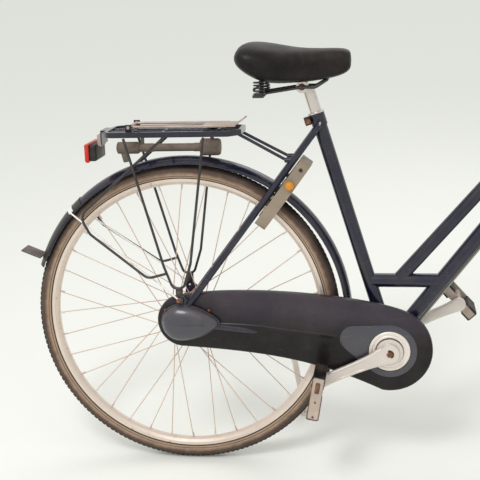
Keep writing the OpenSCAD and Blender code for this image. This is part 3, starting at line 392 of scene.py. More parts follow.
# %% [markdown]
# A few finishes are of their own: the saddle's black vinyl with a fine leather grain, the grips'
# rubber, and two lenses. A lens is a clear coloured plastic, so its transmission stays plain,
# and only its dirt varies.
# %% Vinyl, rubber and lenses
def leather_cells(tree, coords):
    """Small raised cells, as an embossing roller leaves in vinyl."""
    cells = put(tree, "ShaderNodeTexVoronoi", {"Vector": coords["Object"],
                                               "Scale": 650.0}).outputs["Distance"]
    folds = noise(tree, coords["Object"], 55.0, 4.0)
    creases = ramp(tree, folds, 0.47, 0.5)
    lift = plus(tree, times(tree, cells, -0.12), times(tree, creases, 0.03))
    polished = ramp(tree, noise(tree, coords["Object"], 14.0, 3.0), 0.4, 0.65)
    return blend_colour(tree, polished, rgb(17, 14, 14), rgb(28, 24, 23)), lift


vinyl = aged("saddle_vinyl", rgb(17, 14, 14), worn=rgb(84, 76, 72), rough=0.4, dust=(13, 0.1), wear=0.25,
             tone=0.2, scratches=0.35, grain=(900, 0.03), shine=0.25, pattern=leather_cells)
rubber = aged("worn_rubber", rgb(30, 28, 28), rough=0.7, dust=(20, 0.3), wear=0.3, grain=(500, 0.15))


def lens(name, tint, clear):
    """A lens: tinted plastic that lets some light through, under a film of dirt."""
    material = aged(name, tint, rough=0.16, dust=(26, 0.28), scratches=0.4)
    shader = next(n for n in material.node_tree.nodes if n.type == "BSDF_PRINCIPLED")
    shader.inputs["Transmission Weight"].default_value = clear
    shader.inputs["IOR"].default_value = 1.49
    return material


red_lens = lens("red_lens", rgb(224, 34, 26), 0.15)
clear_lens = lens("clear_lens", rgb(232, 234, 232), 0.6)
print("finishes in all:", len(MATERIALS))

# %% [markdown]
# Many engineering nodes already have the true shape, so they only need their finish. Each node's
# object takes one material; its mesh is left alone.
# %% Finishes on the engineering nodes
FINISH_OF = {
    navy: ["frame_tubes", "rear_triangle", "fork", "rear_mudguard", "front_mudguard", "carrier"],
    bright_ring: ["chaincase_ring"],
    chrome: ["headset", "seat_post", "handlebar", "stem", "bell", "headlamp", "rear_hub", "front_hub"],
    rim_chrome: ["rear_rim", "front_rim"],
    stay_wire: ["rear_mudguard_stay", "front_mudguard_stays"],
    alloy: ["crank_right", "crank_left", "brake_levers", "dynamo", "stand_leg"],
    steel: ["bottom_bracket", "seat_bolt", "rear_axle", "front_axle", "rear_brake", "front_brake",
            "crank_axle", "stand_bracket"],
    spoke_wire: ["rear_spokes", "front_spokes"],
    black_wire: ["carrier_legs", "saddle_springs"],
    black_plastic: ["pedal_right", "pedal_left"],
    sleeve_plastic: ["mudguard_tail"],
    flap_rubber: ["mudguard_flap"],
    pump_plastic: ["pump"],
    lock_plastic: ["ring_lock"],
    orange_knob: ["lock_key"],
    sheath: ["rear_brake_cable", "front_brake_cable", "steering_cable_loop"],
    case_plastic: ["chaincase"],
    cap_plastic: ["chaincase_cap"],
    rubber: ["rear_tyre", "front_tyre", "grips"],
    vinyl: ["saddle"],
    red_lens: ["tail_light_lens"],
    clear_lens: ["headlamp_lens"],
    dull_alloy: ["carrier_clip", "tail_light"],
}
for material, names in FINISH_OF.items():
    for name in names:
        nodes[name].data.materials.clear()
        nodes[name].data.materials.append(material)
print("finished nodes:", sum(len(names) for names in FINISH_OF.values()), "of", len(nodes))


def skin(rings, loop=False, mark=None, smooth=35):
    """A closed mesh over rings of upright points; loop joins the last ring to the first."""
    shape = bmesh.new()
    wrap = shape.loops.layers.uv.new("wrap")
    marks = shape.verts.layers.float.new("mark")
    rows = []
    for r, ring in enumerate(rings):
        row = [shape.verts.new(at(*point)) for point in ring]
        for k, vert in enumerate(row):
            vert[marks] = mark(r, k) if mark else 0.0
        rows.append(row)
    count = len(rings[0])
    steps = len(rows) if loop else len(rows) - 1
    for r in range(steps):
        lower, upper = rows[r], rows[(r + 1) % len(rows)]
        for k in range(count):
            n = (k + 1) % count
            face = shape.faces.new((lower[k], lower[n], upper[n], upper[k]))
            corners = ((r, k), (r, k + 1), (r + 1, k + 1), (r + 1, k))
            for corner, (u, v) in zip(face.loops, corners):
                corner[wrap].uv = (u / steps, v / count)
    if not loop:
        shape.faces.new(list(reversed(rows[0])))
        shape.faces.new(rows[-1])
    bmesh.ops.remove_doubles(shape, verts=shape.verts, dist=2e-6)
    bmesh.ops.recalc_face_normals(shape, faces=shape.faces)
    mesh = bpy.data.meshes.new("skin")
    shape.to_mesh(mesh)
    shape.free()
    mesh.shade_smooth()
    mesh.set_sharp_from_angle(angle=math.radians(smooth))
    return mesh


def joined(meshes):
    """Several meshes as one."""
    shape = bmesh.new()
    for mesh in meshes:
        shape.from_mesh(mesh)
        bpy.data.meshes.remove(mesh)
    whole = bpy.data.meshes.new("joined")
    shape.to_mesh(whole)
    shape.free()
    return whole


def piece(name, mesh, material, body, stands_for=(), soft_steps=0):
    """Keeps a mesh, or a list of them, as an object on a body, and hides the nodes it stands for."""
    if isinstance(mesh, list):
        mesh = joined(mesh)
    thing = bpy.data.objects.new(name, mesh)
    mesh.name = name
    mesh.materials.clear()
    mesh.materials.append(material)
    scene.collection.objects.link(thing)
    if soft_steps:
        smoothing = thing.modifiers.new("smoother", "SUBSURF")
        smoothing.levels = smoothing.render_levels = soft_steps
    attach(thing, body)
    if stands_for:
        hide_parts(*stands_for)
    print(name, "on", body, "with", len(mesh.polygons), "faces")
    return thing


def round_steps(count):
    """Angles once round."""
    return [math.tau * k / count for k in range(count)]


def around(centre, r, angle, y):
    """A place at a radius and an angle about an axle."""
    return centre[0] + r * math.cos(angle), y, centre[2] + r * math.sin(angle)


def squared(value, power):
    """A value from -1 to 1 pushed towards its end, which squares off a round section."""
    return math.copysign(abs(value) ** power, value)


def way_at(degrees):
    """A direction in the bicycle's plane: 0 is forward and 90 is up."""
    return Vector((math.cos(math.radians(degrees)), 0, math.sin(math.radians(degrees))))


def turned(centre, profile, steps):
    """Rings of a shape turned once round an axle: the profile is (radius, y) pairs."""
    return [[around(centre, r, a, y) for r, y in profile] for a in round_steps(steps)]


# %% [markdown]
# A tyre is a round tube of rubber with a flattened tread. It repeats nothing but a turn, so its
# section is drawn once and turned about the axle. Each point is marked with how far round the
# sidewall it lies, because an old tyre is dark at the tread and tan towards the rim.
# %% Tyres
TYRE_R = 19.0
BEAD = 131
SECTION_STEPS, TREAD_STEPS = 14, 6
TREAD_SUNK, BEAD_SUNK = 0.9, 0.25
HEEL, HEEL_Y = 13.5, 10


def band(tree, value, middle, half):
    """1 within a narrow band of a value and 0 outside it, with soft edges."""
    off = maths(tree, "ABSOLUTE", maths(tree, "SUBTRACT", value, middle))
    return ramp(tree, off, half, half * 0.5)


def sidewall_colours(tree, coords):
    """Dark tread, brown shoulder, tan sidewall and a dark line where it meets the rim."""
    side_of = put(tree, "ShaderNodeAttribute", attribute_name="mark").outputs["Fac"]
    ragged = times(tree, maths(tree, "SUBTRACT", noise(tree, coords["Object"], 60.0, 5.0, 0.7), 0.5), 0.22)
    across = plus(tree, side_of, ragged)
    tread = blend_colour(tree, ramp(tree, across, 0.3, 0.62), rgb(52, 44, 42), rgb(88, 68, 58))
    wall = blend_colour(tree, ramp(tree, across, 0.6, 0.8), tread, rgb(176, 148, 124))
    line = maths(tree, "MAXIMUM", ramp(tree, side_of, 0.92, 0.94), band(tree, side_of, 0.83, 0.02))
    threads = put(tree, "ShaderNodeTexWave", {"Vector": coords["UV"], "Scale": 420.0,
                                              "Distortion": 1.0}).outputs["Fac"]
    cracks = ramp(tree, noise(tree, coords["Object"], 300.0, 5.0, 0.75), 0.56, 0.62)
    lift = plus(tree, times(tree, threads, 0.02), times(tree, cracks, -0.25))
    return blend_colour(tree, line, wall, rgb(44, 36, 32)), lift


tyre_rubber = aged("dusty_tyre", rgb(70, 60, 52), worn=rgb(140, 120, 100), rough=0.8, dust=(9, 0.35),
                   tone=0.25, scratches=0.0, grain=(260, 0.1), pattern=sidewall_colours)


def tyre(name, axle, body):
    """One tyre round an axle, its bead tucked into the rim."""
    reach = WHEEL_R - TYRE_R
    section, marks = [], []
    for k in range(-SECTION_STEPS, SECTION_STEPS + 1):
        off = abs(k) / SECTION_STEPS
        a = math.radians(BEAD * k / SECTION_STEPS)
        r = TYRE_R - (TREAD_SUNK if abs(k) < TREAD_STEPS else BEAD_SUNK * off)
        section.append((reach + r * math.cos(a), r * math.sin(a)))
        marks.append(off)
    section += [(reach - HEEL, HEEL_Y), (reach - HEEL, -HEEL_Y)]
    marks += [1, 1]
    mesh = skin(turned(axle, section, 120), loop=True, mark=lambda r, k: marks[k])
    return piece(name, mesh, tyre_rubber, body, [name.replace("_cover", "")])


tyre("rear_tyre_cover", REAR_AXLE, "rear_wheel")
tyre("front_tyre_cover", FRONT_AXLE, "front_wheel")

# %% [markdown]
# What repeats round a wheel, such as tread blocks and spoke nipples, is made with Geometry Nodes:
# one small part is instanced on the points of a circle and turned to face outwards. Each tree here
# has named inputs, and ends by making the instances real and setting the material. This helper
# runs a tree on a starting object and keeps the result as a plain mesh.
# %% Growing with Geometry Nodes
def new_tree(name, ins):
    """An empty geometry tree: named inputs, one geometry in and one out."""
    tree = bpy.data.node_groups.new(name, "GeometryNodeTree")
    tree.interface.new_socket("Start", in_out="INPUT", socket_type="NodeSocketGeometry")
    for label, kind, value in ins:
        socket = tree.interface.new_socket(label, in_out="INPUT", socket_type="NodeSocket" + kind)
        if value is not None:
            socket.default_value = value
    tree.interface.new_socket("Material", in_out="INPUT", socket_type="NodeSocketMaterial")
    tree.interface.new_socket("Made", in_out="OUTPUT", socket_type="NodeSocketGeometry")
    return tree, tree.nodes.new("NodeGroupInput").outputs, tree.nodes.new("NodeGroupOutput").inputs


def end_tree(tree, made, inputs, outputs, smooth=True):
    """Makes the instances real, shades them and sets the material."""
    real = first(tree, "GeometryNodeRealizeInstances", {0: made})
    shaded = first(tree, "GeometryNodeSetShadeSmooth", {"Geometry": real, "Shade Smooth": smooth})
    painted = first(tree, "GeometryNodeSetMaterial", {"Geometry": shaded, "Material": inputs["Material"]})
    tree.links.new(painted, outputs["Made"])


def grown(start, tree, material, values, place=None):
    """Runs a tree on a starting object and gives back a plain mesh; the start is thrown away."""
    scene.collection.objects.link(start)
    step = start.modifiers.new("grow", "NODES")
    step.node_group = tree
    labels = {s.name: s.identifier for s in tree.interface.items_tree if s.in_out == "INPUT"}
    for label, value in {**values, "Material": material}.items():
        step[labels[label]] = value
    graph = bpy.context.evaluated_depsgraph_get()
    mesh = bpy.data.meshes.new_from_object(start.evaluated_get(graph), depsgraph=graph)
    bpy.data.objects.remove(start)
    if place:
        mesh.transform(place)
    return mesh


def path(points, closed=False):
    """A curve object through upright points."""
    curve = bpy.data.curves.new("path", "CURVE")
    curve.dimensions = "3D"
    spline = curve.splines.new("POLY")
    spline.points.add(len(points) - 1)
    for knot, point in zip(spline.points, points):
        knot.co = (*at(*point), 1)
    spline.use_cyclic_u = closed
    return bpy.data.objects.new("path", curve)


def facing(tree, direction, axis):
    """A rotation that turns one axis of a part to a direction."""
    return first(tree, "FunctionNodeAlignRotationToVector", {"Vector": direction}, axis=axis)


def hoop(tree, sides, radius):
    """A round curve."""
    return first(tree, "GeometryNodeCurvePrimitiveCircle", {"Resolution": sides, "Radius": radius})


def swept(tree, run, section, caps=False):
    """A section swept along a curve."""
    inputs = {"Curve": run, "Profile Curve": section, "Fill Caps": caps}
    return first(tree, "GeometryNodeCurveToMesh", inputs)


def laid_on(tree, points, part, turn):
    """A part instanced on points, each turned its own way."""
    inputs = {"Points": points, "Instance": part, "Rotation": turn}
    return first(tree, "GeometryNodeInstanceOnPoints", inputs)


# %% [markdown]
# The round-the-wheel tree lays its starting part, whose own x points outwards and z along the
# axle, on a circle. The circle is flat at the origin; the mesh is moved to the axle afterwards.
# %% Round-the-wheel tree
tree, ins, outs = new_tree("round_the_wheel", [("Count", "Int", 36), ("Radius", "Float", 0.3),
                                               ("Twist", "Float", 0.0)])
circle = first(tree, "GeometryNodeMeshCircle", {"Vertices": ins["Count"], "Radius": ins["Radius"]})
spot = first(tree, "GeometryNodeInputPosition")
outward = facing(tree, spot, "X")
laid = laid_on(tree, circle, ins["Start"], outward)
spun = first(tree, "ShaderNodeCombineXYZ", {2: ins["Twist"]})
swung = first(tree, "GeometryNodeTransform", {"Geometry": laid, "Rotation": spun})
end_tree(tree, swung, ins, outs, smooth=False)
wheel_tree = tree


def block(length, width, height, taper=0.8):
    """A small tapered block as a part for a tree: x is its height, y its length, z its width, in mm."""
    mesh = bpy.data.meshes.new("block")
    low = [(0, s * length / 2, t * width / 2) for s, t in ((-1, -1), (1, -1), (1, 1), (-1, 1))]
    high = [(height, y * taper, z * taper) for x, y, z in low]
    mesh.from_pydata([tuple(v / 1000 for v in p) for p in low + high], [],
                     [(0, 3, 2, 1), (4, 5, 6, 7)]
                     + [(k, (k + 1) % 4, (k + 1) % 4 + 4, k + 4) for k in range(4)])
    return bpy.data.objects.new("block", mesh)


def wheel_place(axle, y=0.0):
    """From a flat circle at the origin, in metres, to an axle on the bicycle."""
    stood = Matrix.Rotation(math.pi / 2, 4, "X")
    return PARKED @ Matrix.Translation((axle[0], y, axle[2])) @ Matrix.Scale(1000, 4) @ stood


# %% [markdown]
# Town tyres have a fine tread: three bands of small blocks, the middle one offset. It stays
# within the tyre's own radius. Nipples stand on the rim's inner side, one a spoke.
# %% Tread and nipples
TREAD_BLOCKS, SPOKES = 180, 36
NIPPLE_R = 0.3025
BANDS = ((0, 1.5, 0.0), (7, 2.6, 0.03), (-7, 2.6, 0.03))
for name, axle, body in (("rear", REAR_AXLE, "rear_wheel"), ("front", FRONT_AXLE, "front_wheel")):
    blocks = []
    for y, sunk, twist in BANDS:
        values = {"Count": TREAD_BLOCKS, "Radius": (WHEEL_R - sunk) / 1000, "Twist": twist}
        blocks.append(grown(block(9, 5.2, 0.9), wheel_tree, tyre_rubber, values, wheel_place(axle, y)))
    piece(name + "_tread", blocks, tyre_rubber, body)
    cups = grown(block(4, 4, -11, 0.7), wheel_tree, alloy, {"Count": SPOKES, "Radius": NIPPLE_R},
                 wheel_place(axle))
    piece(name + "_nipples", cups, alloy, body)

# %% [markdown]
# Wires, tubes and cables are all a circle swept along a bent path. The wire tree rounds the
# path's corners first and then sweeps, so one tree makes the carrier's legs, the saddle's
# rails and springs, the handlebar and the cables.
# %% Wire tree
tree, ins, outs = new_tree("bent_wire", [("Radius", "Float", 0.003), ("Corner", "Float", 0.01),
                                         ("Sides", "Int", 12)])
soft = put(tree, "GeometryNodeFilletCurve", {"Curve": ins["Start"], "Radius": ins["Corner"],
                                             "Limit Radius": True})
soft.mode = "POLY"
soft.inputs["Count"].default_value = 8
tube = swept(tree, soft.outputs[0], hoop(tree, ins["Sides"], ins["Radius"]), caps=True)
end_tree(tree, tube, ins, outs)
wire_tree = tree


def wire(points, radius, corner=10.0, material=None, sides=12, closed=False):
    """A round wire along upright points, its corners rounded."""
    return grown(path(points, closed), wire_tree, material,
                 {"Radius": radius / 1000, "Corner": corner / 1000, "Sides": sides})


def flip(points):
    """The same points on the other side of the bicycle."""
    return [(x, -y, z) for x, y, z in points]


def both(points, radius, corner, material):
    """A wire and its mirror image."""
    return [wire(run, radius, corner, material) for run in (points, flip(points))]


print("trees ready")

# %% [markdown]
# Two more shapes come up again and again: something turned on a lathe, such as a bell or a
# lamp, and a moulded slab with rounded edges. The lathe takes pairs of a radius and how far along
# its axis; the slab takes two corners.
# %% Lathe and slab
def lathe(base, direction, profile, steps=32):
    """A turned shape: (radius, along) pairs from a base point along a direction, both ends closed."""
    d = Vector(direction).normalized()
    a = d.orthogonal().normalized()
    b = d.cross(a)
    rings = [[Vector(base) + along * d + r * (math.cos(t) * a + math.sin(t) * b)
              for t in round_steps(steps)] for r, along in profile]
    return skin(rings)


def rod(start, end, r, r_end=None, steps=20):
    """A straight rod with softened ends."""
    run = Vector(end) - Vector(start)
    far = r if r_end is None else r_end
    soft = min(1.0, run.length / 6)
    profile = [(r * 0.7, 0), (r, soft), (far, run.length - soft), (far * 0.7, run.length)]
    return lathe(start, run, profile, steps)


def slab(low, high, soft=1.5, steps=3, swing=None, about=(0, 0, 0)):
    """A block between two corners with rounded edges; swing turns it in degrees about y at a point."""
    shape = bmesh.new()
    bmesh.ops.create_cube(shape, size=1)
    low, high = Vector(low), Vector(high)
    for vert in shape.verts:
        vert.co = Vector([low[n] + (vert.co[n] + 0.5) * (high[n] - low[n]) for n in range(3)])
    bmesh.ops.bevel(shape, geom=shape.edges[:], offset=soft, segments=steps, profile=0.5, affect="EDGES")
    if swing is not None:
        pivot = Matrix.Translation(about)
        shape.transform(pivot @ Matrix.Rotation(math.radians(swing), 4, "Y") @ pivot.inverted())
    shape.transform(PARKED)
    bmesh.ops.recalc_face_normals(shape, faces=shape.faces)
    mesh = bpy.data.meshes.new("slab")
    shape.to_mesh(mesh)
    shape.free()
    mesh.shade_smooth()
    mesh.set_sharp_from_angle(angle=math.radians(40))
    return mesh


# %% [markdown]
# Bolts hold nearly everything on a bicycle. They are grown on bare points: each point carries the
# direction that its bolt faces, and the tree lays a washer and a six-sided head on it.
# %% Bolt tree
tree, ins, outs = new_tree("bolts", [("Size", "Float", 0.004)])
faced = first(tree, "GeometryNodeInputNamedAttribute", {"Name": "facing"}, data_type="FLOAT_VECTOR")
head_h = times(tree, ins["Size"], 0.7)
head = first(tree, "GeometryNodeMeshCylinder", {"Vertices": 6, "Radius": ins["Size"], "Depth": head_h})
lift = first(tree, "ShaderNodeCombineXYZ", {2: times(tree, head_h, 0.75)})
raised = first(tree, "GeometryNodeTransform", {"Geometry": head, "Translation": lift})
wide = times(tree, ins["Size"], 1.5)
thin = times(tree, ins["Size"], 0.3)
washer = first(tree, "GeometryNodeMeshCylinder", {"Vertices": 20, "Radius": wide, "Depth": thin})
whole = put(tree, "GeometryNodeJoinGeometry")
tree.links.new(raised, whole.inputs[0])
tree.links.new(washer, whole.inputs[0])
heads = laid_on(tree, ins["Start"], whole.outputs[0], facing(tree, faced, "Z"))
end_tree(tree, heads, ins, outs, smooth=False)
bolt_tree = tree


def bolts(size, places):
    """Bolt heads at upright places, each with the direction that it faces."""
    mesh = bpy.data.meshes.new("bolt_points")
    mesh.from_pydata([at(*place) for place, _ in places], [], [])
    ways = mesh.attributes.new("facing", "FLOAT_VECTOR", "POINT")
    for k, (_, way) in enumerate(places):
        ways.data[k].vector = (PARKED.to_3x3() @ Vector(way)).normalized()
    return grown(bpy.data.objects.new("bolt_points", mesh), bolt_tree, steel, {"Size": size / 1000})


print("lathe, slab and bolts ready")

# %% [markdown]
# The carrier stands on two legs of black wire, each bent to a V that is bolted at the axle, and a
# long brace that reaches back to the mudguard. The wire tree gives the round bends that the real
# jig leaves.
# %% Carrier legs
DROP_Y = 57.0
LEG_R = 3
LEG_Y = DROP_Y + 5 + LEG_R + GAP
EYELET = (-4, 402)
CARRIER_Z = 775.0
DECK_Y = 62.0
UNDER_DECK = CARRIER_Z - 12 - GAP - 0.9
legs = [(-112, -DECK_Y, UNDER_DECK), (-36, -LEG_Y - 1, 478), (EYELET[0] - 14, -LEG_Y, EYELET[1] + 26),
        (EYELET[0] + 10, -LEG_Y, EYELET[1] + 26), (24, -LEG_Y - 1, 484), (63, -DECK_Y, UNDER_DECK)]
brace = [(-25, 8 - DECK_Y, UNDER_DECK), (-224, -50, 588), (-203, -52, 548), (-72, -LEG_Y - 6.8, 452),
         (-31, -LEG_Y - 6.8, 463)]
wires = both(legs, LEG_R, 13, black_wire) + both(brace, LEG_R, 24, black_wire)
for s in (-1, 1):
    wires.append(slab((EYELET[0] - 8, s * LEG_Y - 2, EYELET[1] - 9),
                      (EYELET[0] + 8, s * LEG_Y + 2, EYELET[1] + 29), 1.2))
piece("carrier_leg_wires", wires, black_wire, "frame", ["carrier_legs"])
bolted = [((EYELET[0], s * (LEG_Y + out_by), EYELET[1] + above), (0, s, 0))
          for out_by, above in ((9.6, 0), (2.4, 18)) for s in (-1, 1)]
piece("carrier_bolts", bolts(3.6, bolted), steel, "frame")

# %% [markdown]
# The tail light hangs on a bent alloy tab: a black shell with a ribbed red lens. The ribs stand
# on the lens's face as a row of ridges.
# %% Tail light
LIGHT_X = -172.0
RIDGE, RIDGE_GAP = 7.0, 0.45
shell = slab((LIGHT_X - 25, -40, 709), (LIGHT_X - 8, 40, 745), 5, 4)
piece("tail_light_shell", shell, black_plastic, "frame", ["tail_light"])
tab = slab((LIGHT_X - 10, -20, 739), (LIGHT_X - GAP, 20, 765), 2.0)
piece("tail_light_tab", tab, dull_alloy, "frame")
lens_parts = [slab((LIGHT_X - 33, -43, 706), (LIGHT_X - 24.3, 43, 748), 3.5, 4)]
for k in range(11):
    y = (RIDGE + RIDGE_GAP) * k - 41
    lens_parts.append(slab((LIGHT_X - 34.4, y, 708), (LIGHT_X - 31, y + RIDGE, 746), 1.5, 2))
piece("tail_lens", lens_parts, red_lens, "frame", ["tail_light_lens"])

# %% [markdown]
# The pump is clipped under the carrier. Its barrel and caps are one lathe shape. The knob's grip
# rings are the same small ring again and again, so they are grown along a line.
# %% Ribbed sleeve tree
tree, ins, outs = new_tree("rings_along_a_path", [("Count", "Int", 10), ("Radius", "Float", 0.01),
                                                  ("Rib", "Float", 0.001)])
spaced = put(tree, "GeometryNodeResampleCurve", {"Curve": ins["Start"], "Count": ins["Count"]})
tangent = first(tree, "GeometryNodeInputTangent")
ring = swept(tree, hoop(tree, 28, ins["Radius"]), hoop(tree, 6, ins["Rib"]))
rings = laid_on(tree, spaced.outputs[0], ring, facing(tree, tangent, "Z"))
end_tree(tree, rings, ins, outs)
rib_tree = tree


def ribs(points, radius, rib, count, material):
    """Raised rings along a line."""
    return grown(path(points), rib_tree, material,
                 {"Count": count, "Radius": radius / 1000, "Rib": rib / 1000})


PUMP_Z = CARRIER_Z - 44
barrel = [(9, -142), (13, -140), (13.4, -134), (13.4, -96), (12, -92), (9.5, -91), (9.5, -60), (8.8, -58),
          (8.8, 30), (9.6, 32), (9.6, 44), (16, 46), (18.6, 49), (18.6, 86), (16, 90), (9, 90.4)]
PUMP_AXIS = PUMP_Z + 1.5
parts = [lathe((0, 0, PUMP_AXIS), (1, 0, 0), barrel, 36),
         rod((-128, 0, PUMP_Z), (-122, 0, 701), 8.5, 7.5),
         ribs([(51, 0, PUMP_AXIS), (84, 0, PUMP_AXIS)], 18.4, 0.8, 12, pump_plastic)]
for x in (-84, 72):
    parts.append(rod((x, 0, PUMP_Z + 8), (x, 0, CARRIER_Z - 9), 4))
    parts.append(slab((x - 6, -26, CARRIER_Z - 10 - GAP), (x + 6, 26, CARRIER_Z - 7 - GAP), 0.8))
piece("pump_body", parts, pump_plastic, "frame", ["pump"])

# %% [markdown]
# Under the carrier's front end sits the ring lock. The engineering shape is right, so only small
# parts are added: the orange key knob as a domed cap, and the keyhole.
# %% Ring lock details
LOCK_AT = Vector((203.4, 0, 640))
LOCK_SHIFT = 11.5
LOCK_TILT = 36.93


def on_lock(x, y, z):
    """A place on the ring lock, in its own upright position."""
    place = LOCK_AT + (x + LOCK_SHIFT) * way_at(-LOCK_TILT) + z * way_at(90 - LOCK_TILT)
    return place.x, y, place.z


knob_profile = [(9.4, 0), (10, 1), (10, 6), (9, 9.5), (6.5, 12.4), (3, 13.4), (0.5, 13.6)]
knob = lathe(on_lock(13, -52.6, 37), (0, -1, 0), knob_profile, 28)
piece("lock_knob", knob, orange_knob, "frame", ["lock_key"])
keyhole = lathe(on_lock(13, -36, 76), (0, -1, 0), [(4, 0), (4, 9.4), (3, 9.6), (2.4, 8.4)], 20)
piece("lock_keyhole", keyhole, black_plastic, "frame")

# %% [markdown]
# The chaincase is a moulded shell, big round the crank and small round the axle. Its outline is
# two arcs joined by two long curves, as the engineering shape has. Rings of that outline, drawn in
# step by step towards the face, give the rounded rim of a moulding.
# %% Chaincase
CASE_Y = 36.0
CASE_T = 20.0
CASE_FRONT_R = 94.0
CASE_REAR_R = 60.0
CURVE_STEPS = 30


def bridge(a, leave, arrive, b):
    """Points between two places on a Bezier curve, with how it leaves one and reaches the other."""
    pulls = [(a[0] + leave[0], a[1] + leave[1]), (b[0] + arrive[0], b[1] + arrive[1])]
    points = []
    for k in range(1, CURVE_STEPS):
        t = k / CURVE_STEPS
        s = 1 - t
        points.append(tuple(s ** 3 * p + 3 * t * s * s * q + 3 * t * t * s * r + t ** 3 * v
                            for p, q, r, v in zip(a, *pulls, b)))
    return points


def arc(centre, r, start, end, steps):
    """Points on an arc, as x and z."""
    angles = [math.radians(start + (end - start) * k / steps) for k in range(steps + 1)]
    return [(centre[0] + r * math.cos(a), centre[2] + r * math.sin(a)) for a in angles]


front = arc(BB, CASE_FRONT_R, -100, 62, 36)
rear = arc(REAR_AXLE, CASE_REAR_R, 112, 262, 32)
over_top = bridge(front[-1], (-70, 38), (150, 34), rear[0])
under = bridge(rear[-1], (190, -12), (-150, 70), front[0])
case_outline = front + over_top + rear + under


def drawn_in(outline, amount):
    """The outline moved inwards by an amount, square to itself."""
    moved = []
    for k, (x, z) in enumerate(outline):
        (x0, z0), (x1, z1) = outline[k - 1], outline[(k + 1) % len(outline)]
        along = Vector((x1 - x0, z1 - z0)).normalized()
        moved.append((x - along.y * amount, z + along.x * amount))
    return moved


def layered(outline, layers):
    """Rings of an outline: each layer is how far out along y, and how far drawn in."""
    return [[(x, -y, z) for x, z in drawn_in(outline, inset)] for y, inset in layers]


FACE_Y = CASE_Y + CASE_T
LAYERS = [(CASE_Y, 4), (CASE_Y + 1, 1.2), (CASE_Y + 3, 0), (FACE_Y - 8, 0), (FACE_Y - 4.6, 1.0),
          (FACE_Y - 2.4, 3.2), (FACE_Y - 1.2, 6.5), (FACE_Y - 0.6, 12), (FACE_Y - 0.2, 20), (FACE_Y, 30)]
case = skin(layered(case_outline, LAYERS), smooth=25)
crease = [(84, 344), (130, 342.5), (173, 339.5), (225, 332), (285, 325), (345, 317.5)]
fold = skin([[(x, -FACE_Y + 0.6, z + 3), (x, -FACE_Y - 1.2, z), (x, -FACE_Y + 0.6, z - 12)]
             for x, z in crease])
piece("chaincase_shell", [case, fold], case_plastic, "frame", ["chaincase"])

# %% [markdown]
# Round the crank a smooth teardrop panel stands a little proud. Seen from the crank's centre, its
# edge is the outer edge of two discs, a large one round the crank and a small one behind it, and
# of every disc between them. So a formula gives its radius at each angle.
# %% Teardrop panel
PANEL_R, PANEL_TIP_R = 60.0, 30.0
PANEL_TIP = Vector((378 - BB.x, 312 - BB.z))


def panel_radius(angle, inset):
    """How far the teardrop's edge lies from the crank at an angle."""
    way = Vector((math.cos(angle), math.sin(angle)))
    best = 0.0
    for k in range(13):
        c = PANEL_TIP * (k / 12)
        r = PANEL_R + (PANEL_TIP_R - PANEL_R) * k / 12 - inset
        reach = r * r - c.length_squared + c.dot(way) ** 2
        if reach > 0:
            best = max(best, c.dot(way) + math.sqrt(reach))
    return best


PANEL_EDGE = ((-FACE_Y + 0.5, 0.0), (-FACE_Y - 0.7, 0.4), (-FACE_Y - 1.3, 1.6), (-FACE_Y - 1.5, 4.0))
PANEL_HOLE = ((-FACE_Y - 1.5, 47.0), (-FACE_Y - 0.8, 46.2), (-FACE_Y + 0.5, 46.0))
turns = round_steps(120)
panel_rings = [[around(BB, panel_radius(a, inset), a, y) for a in turns] for y, inset in PANEL_EDGE]
panel_rings += [[around(BB, r, a, y) for a in turns] for y, r in PANEL_HOLE]
piece("chaincase_panel", skin(panel_rings, loop=True, smooth=30), cap_plastic, "frame")

# %% [markdown]
# A pressed ring of chrome trims the opening round the crank. Its section has two soft ridges with
# a groove between, turned once round the crank.
# %% Trim ring
ring_section = [(30.2, -FACE_Y - GAP), (30, -FACE_Y - 1.4), (31.2, -FACE_Y - 2.7), (33.4, -FACE_Y - 3.1),
                (35.4, -FACE_Y - 2.5), (36.6, -FACE_Y - 1.7), (37.8, -FACE_Y - 2.3), (40.4, -FACE_Y - 3.0),
                (43.2, -FACE_Y - 2.4), (45, -FACE_Y - 1.2), (45.2, -FACE_Y - GAP)]
piece("trim_ring", skin(turned(BB, ring_section, 96), loop=True, smooth=50), bright_ring, "frame",
      ["chaincase_ring"])

# %% [markdown]
# The rear cap is a glossy pear-shaped bulb over the axle's end, with a flat lip round it. Its
# outline is a circle drawn out to a point in front. The bulb rises from it in layers that close on
# a line, as an egg would.
# %% Chaincase cap
CAP_Y = 64.0
CAP_R = 43.0
CAP_X, CAP_REACH, CAP_RIDGE = -6, 90, 46


def pear(scale, y):
    """One ring of the cap: its outline shrunk towards the middle line."""
    ring = []
    for a in round_steps(64):
        forward = max(0.0, math.cos(a))
        x = CAP_X + (CAP_REACH if forward else CAP_R) * math.cos(a)
        z = CAP_R * math.sin(a) * (1 - 0.42 * forward ** 2)
        middle = min(max(x, CAP_X), CAP_RIDGE)
        lower = 1.0 - 0.3 * max(0.0, (x - 10) / 74)
        ring.append((middle + (x - middle) * scale, -CAP_Y - y * lower, WHEEL_R + z * scale))
    return ring


dome = [pear(1.0, -4), pear(1.0, 0), pear(0.985, 1.2), pear(0.95, 1.4), pear(0.935, 1.0)]
for t in range(6, 90, 7):
    rise = way_at(t)
    dome.append(pear(0.93 * rise.x, 1.0 + 23 * rise.z))
dome += [pear(0.01, 24.2)]
piece("chaincase_bulb", skin(dome, smooth=50), cap_plastic, "frame", ["chaincase_cap"])
cap_screws = [((-38, -CAP_Y - 1, 378), (0, -1, 0)), ((60, -CAP_Y + 4, 376), (0, -1, 0))]
piece("cap_screws", bolts(2.2, cap_screws), steel, "frame")

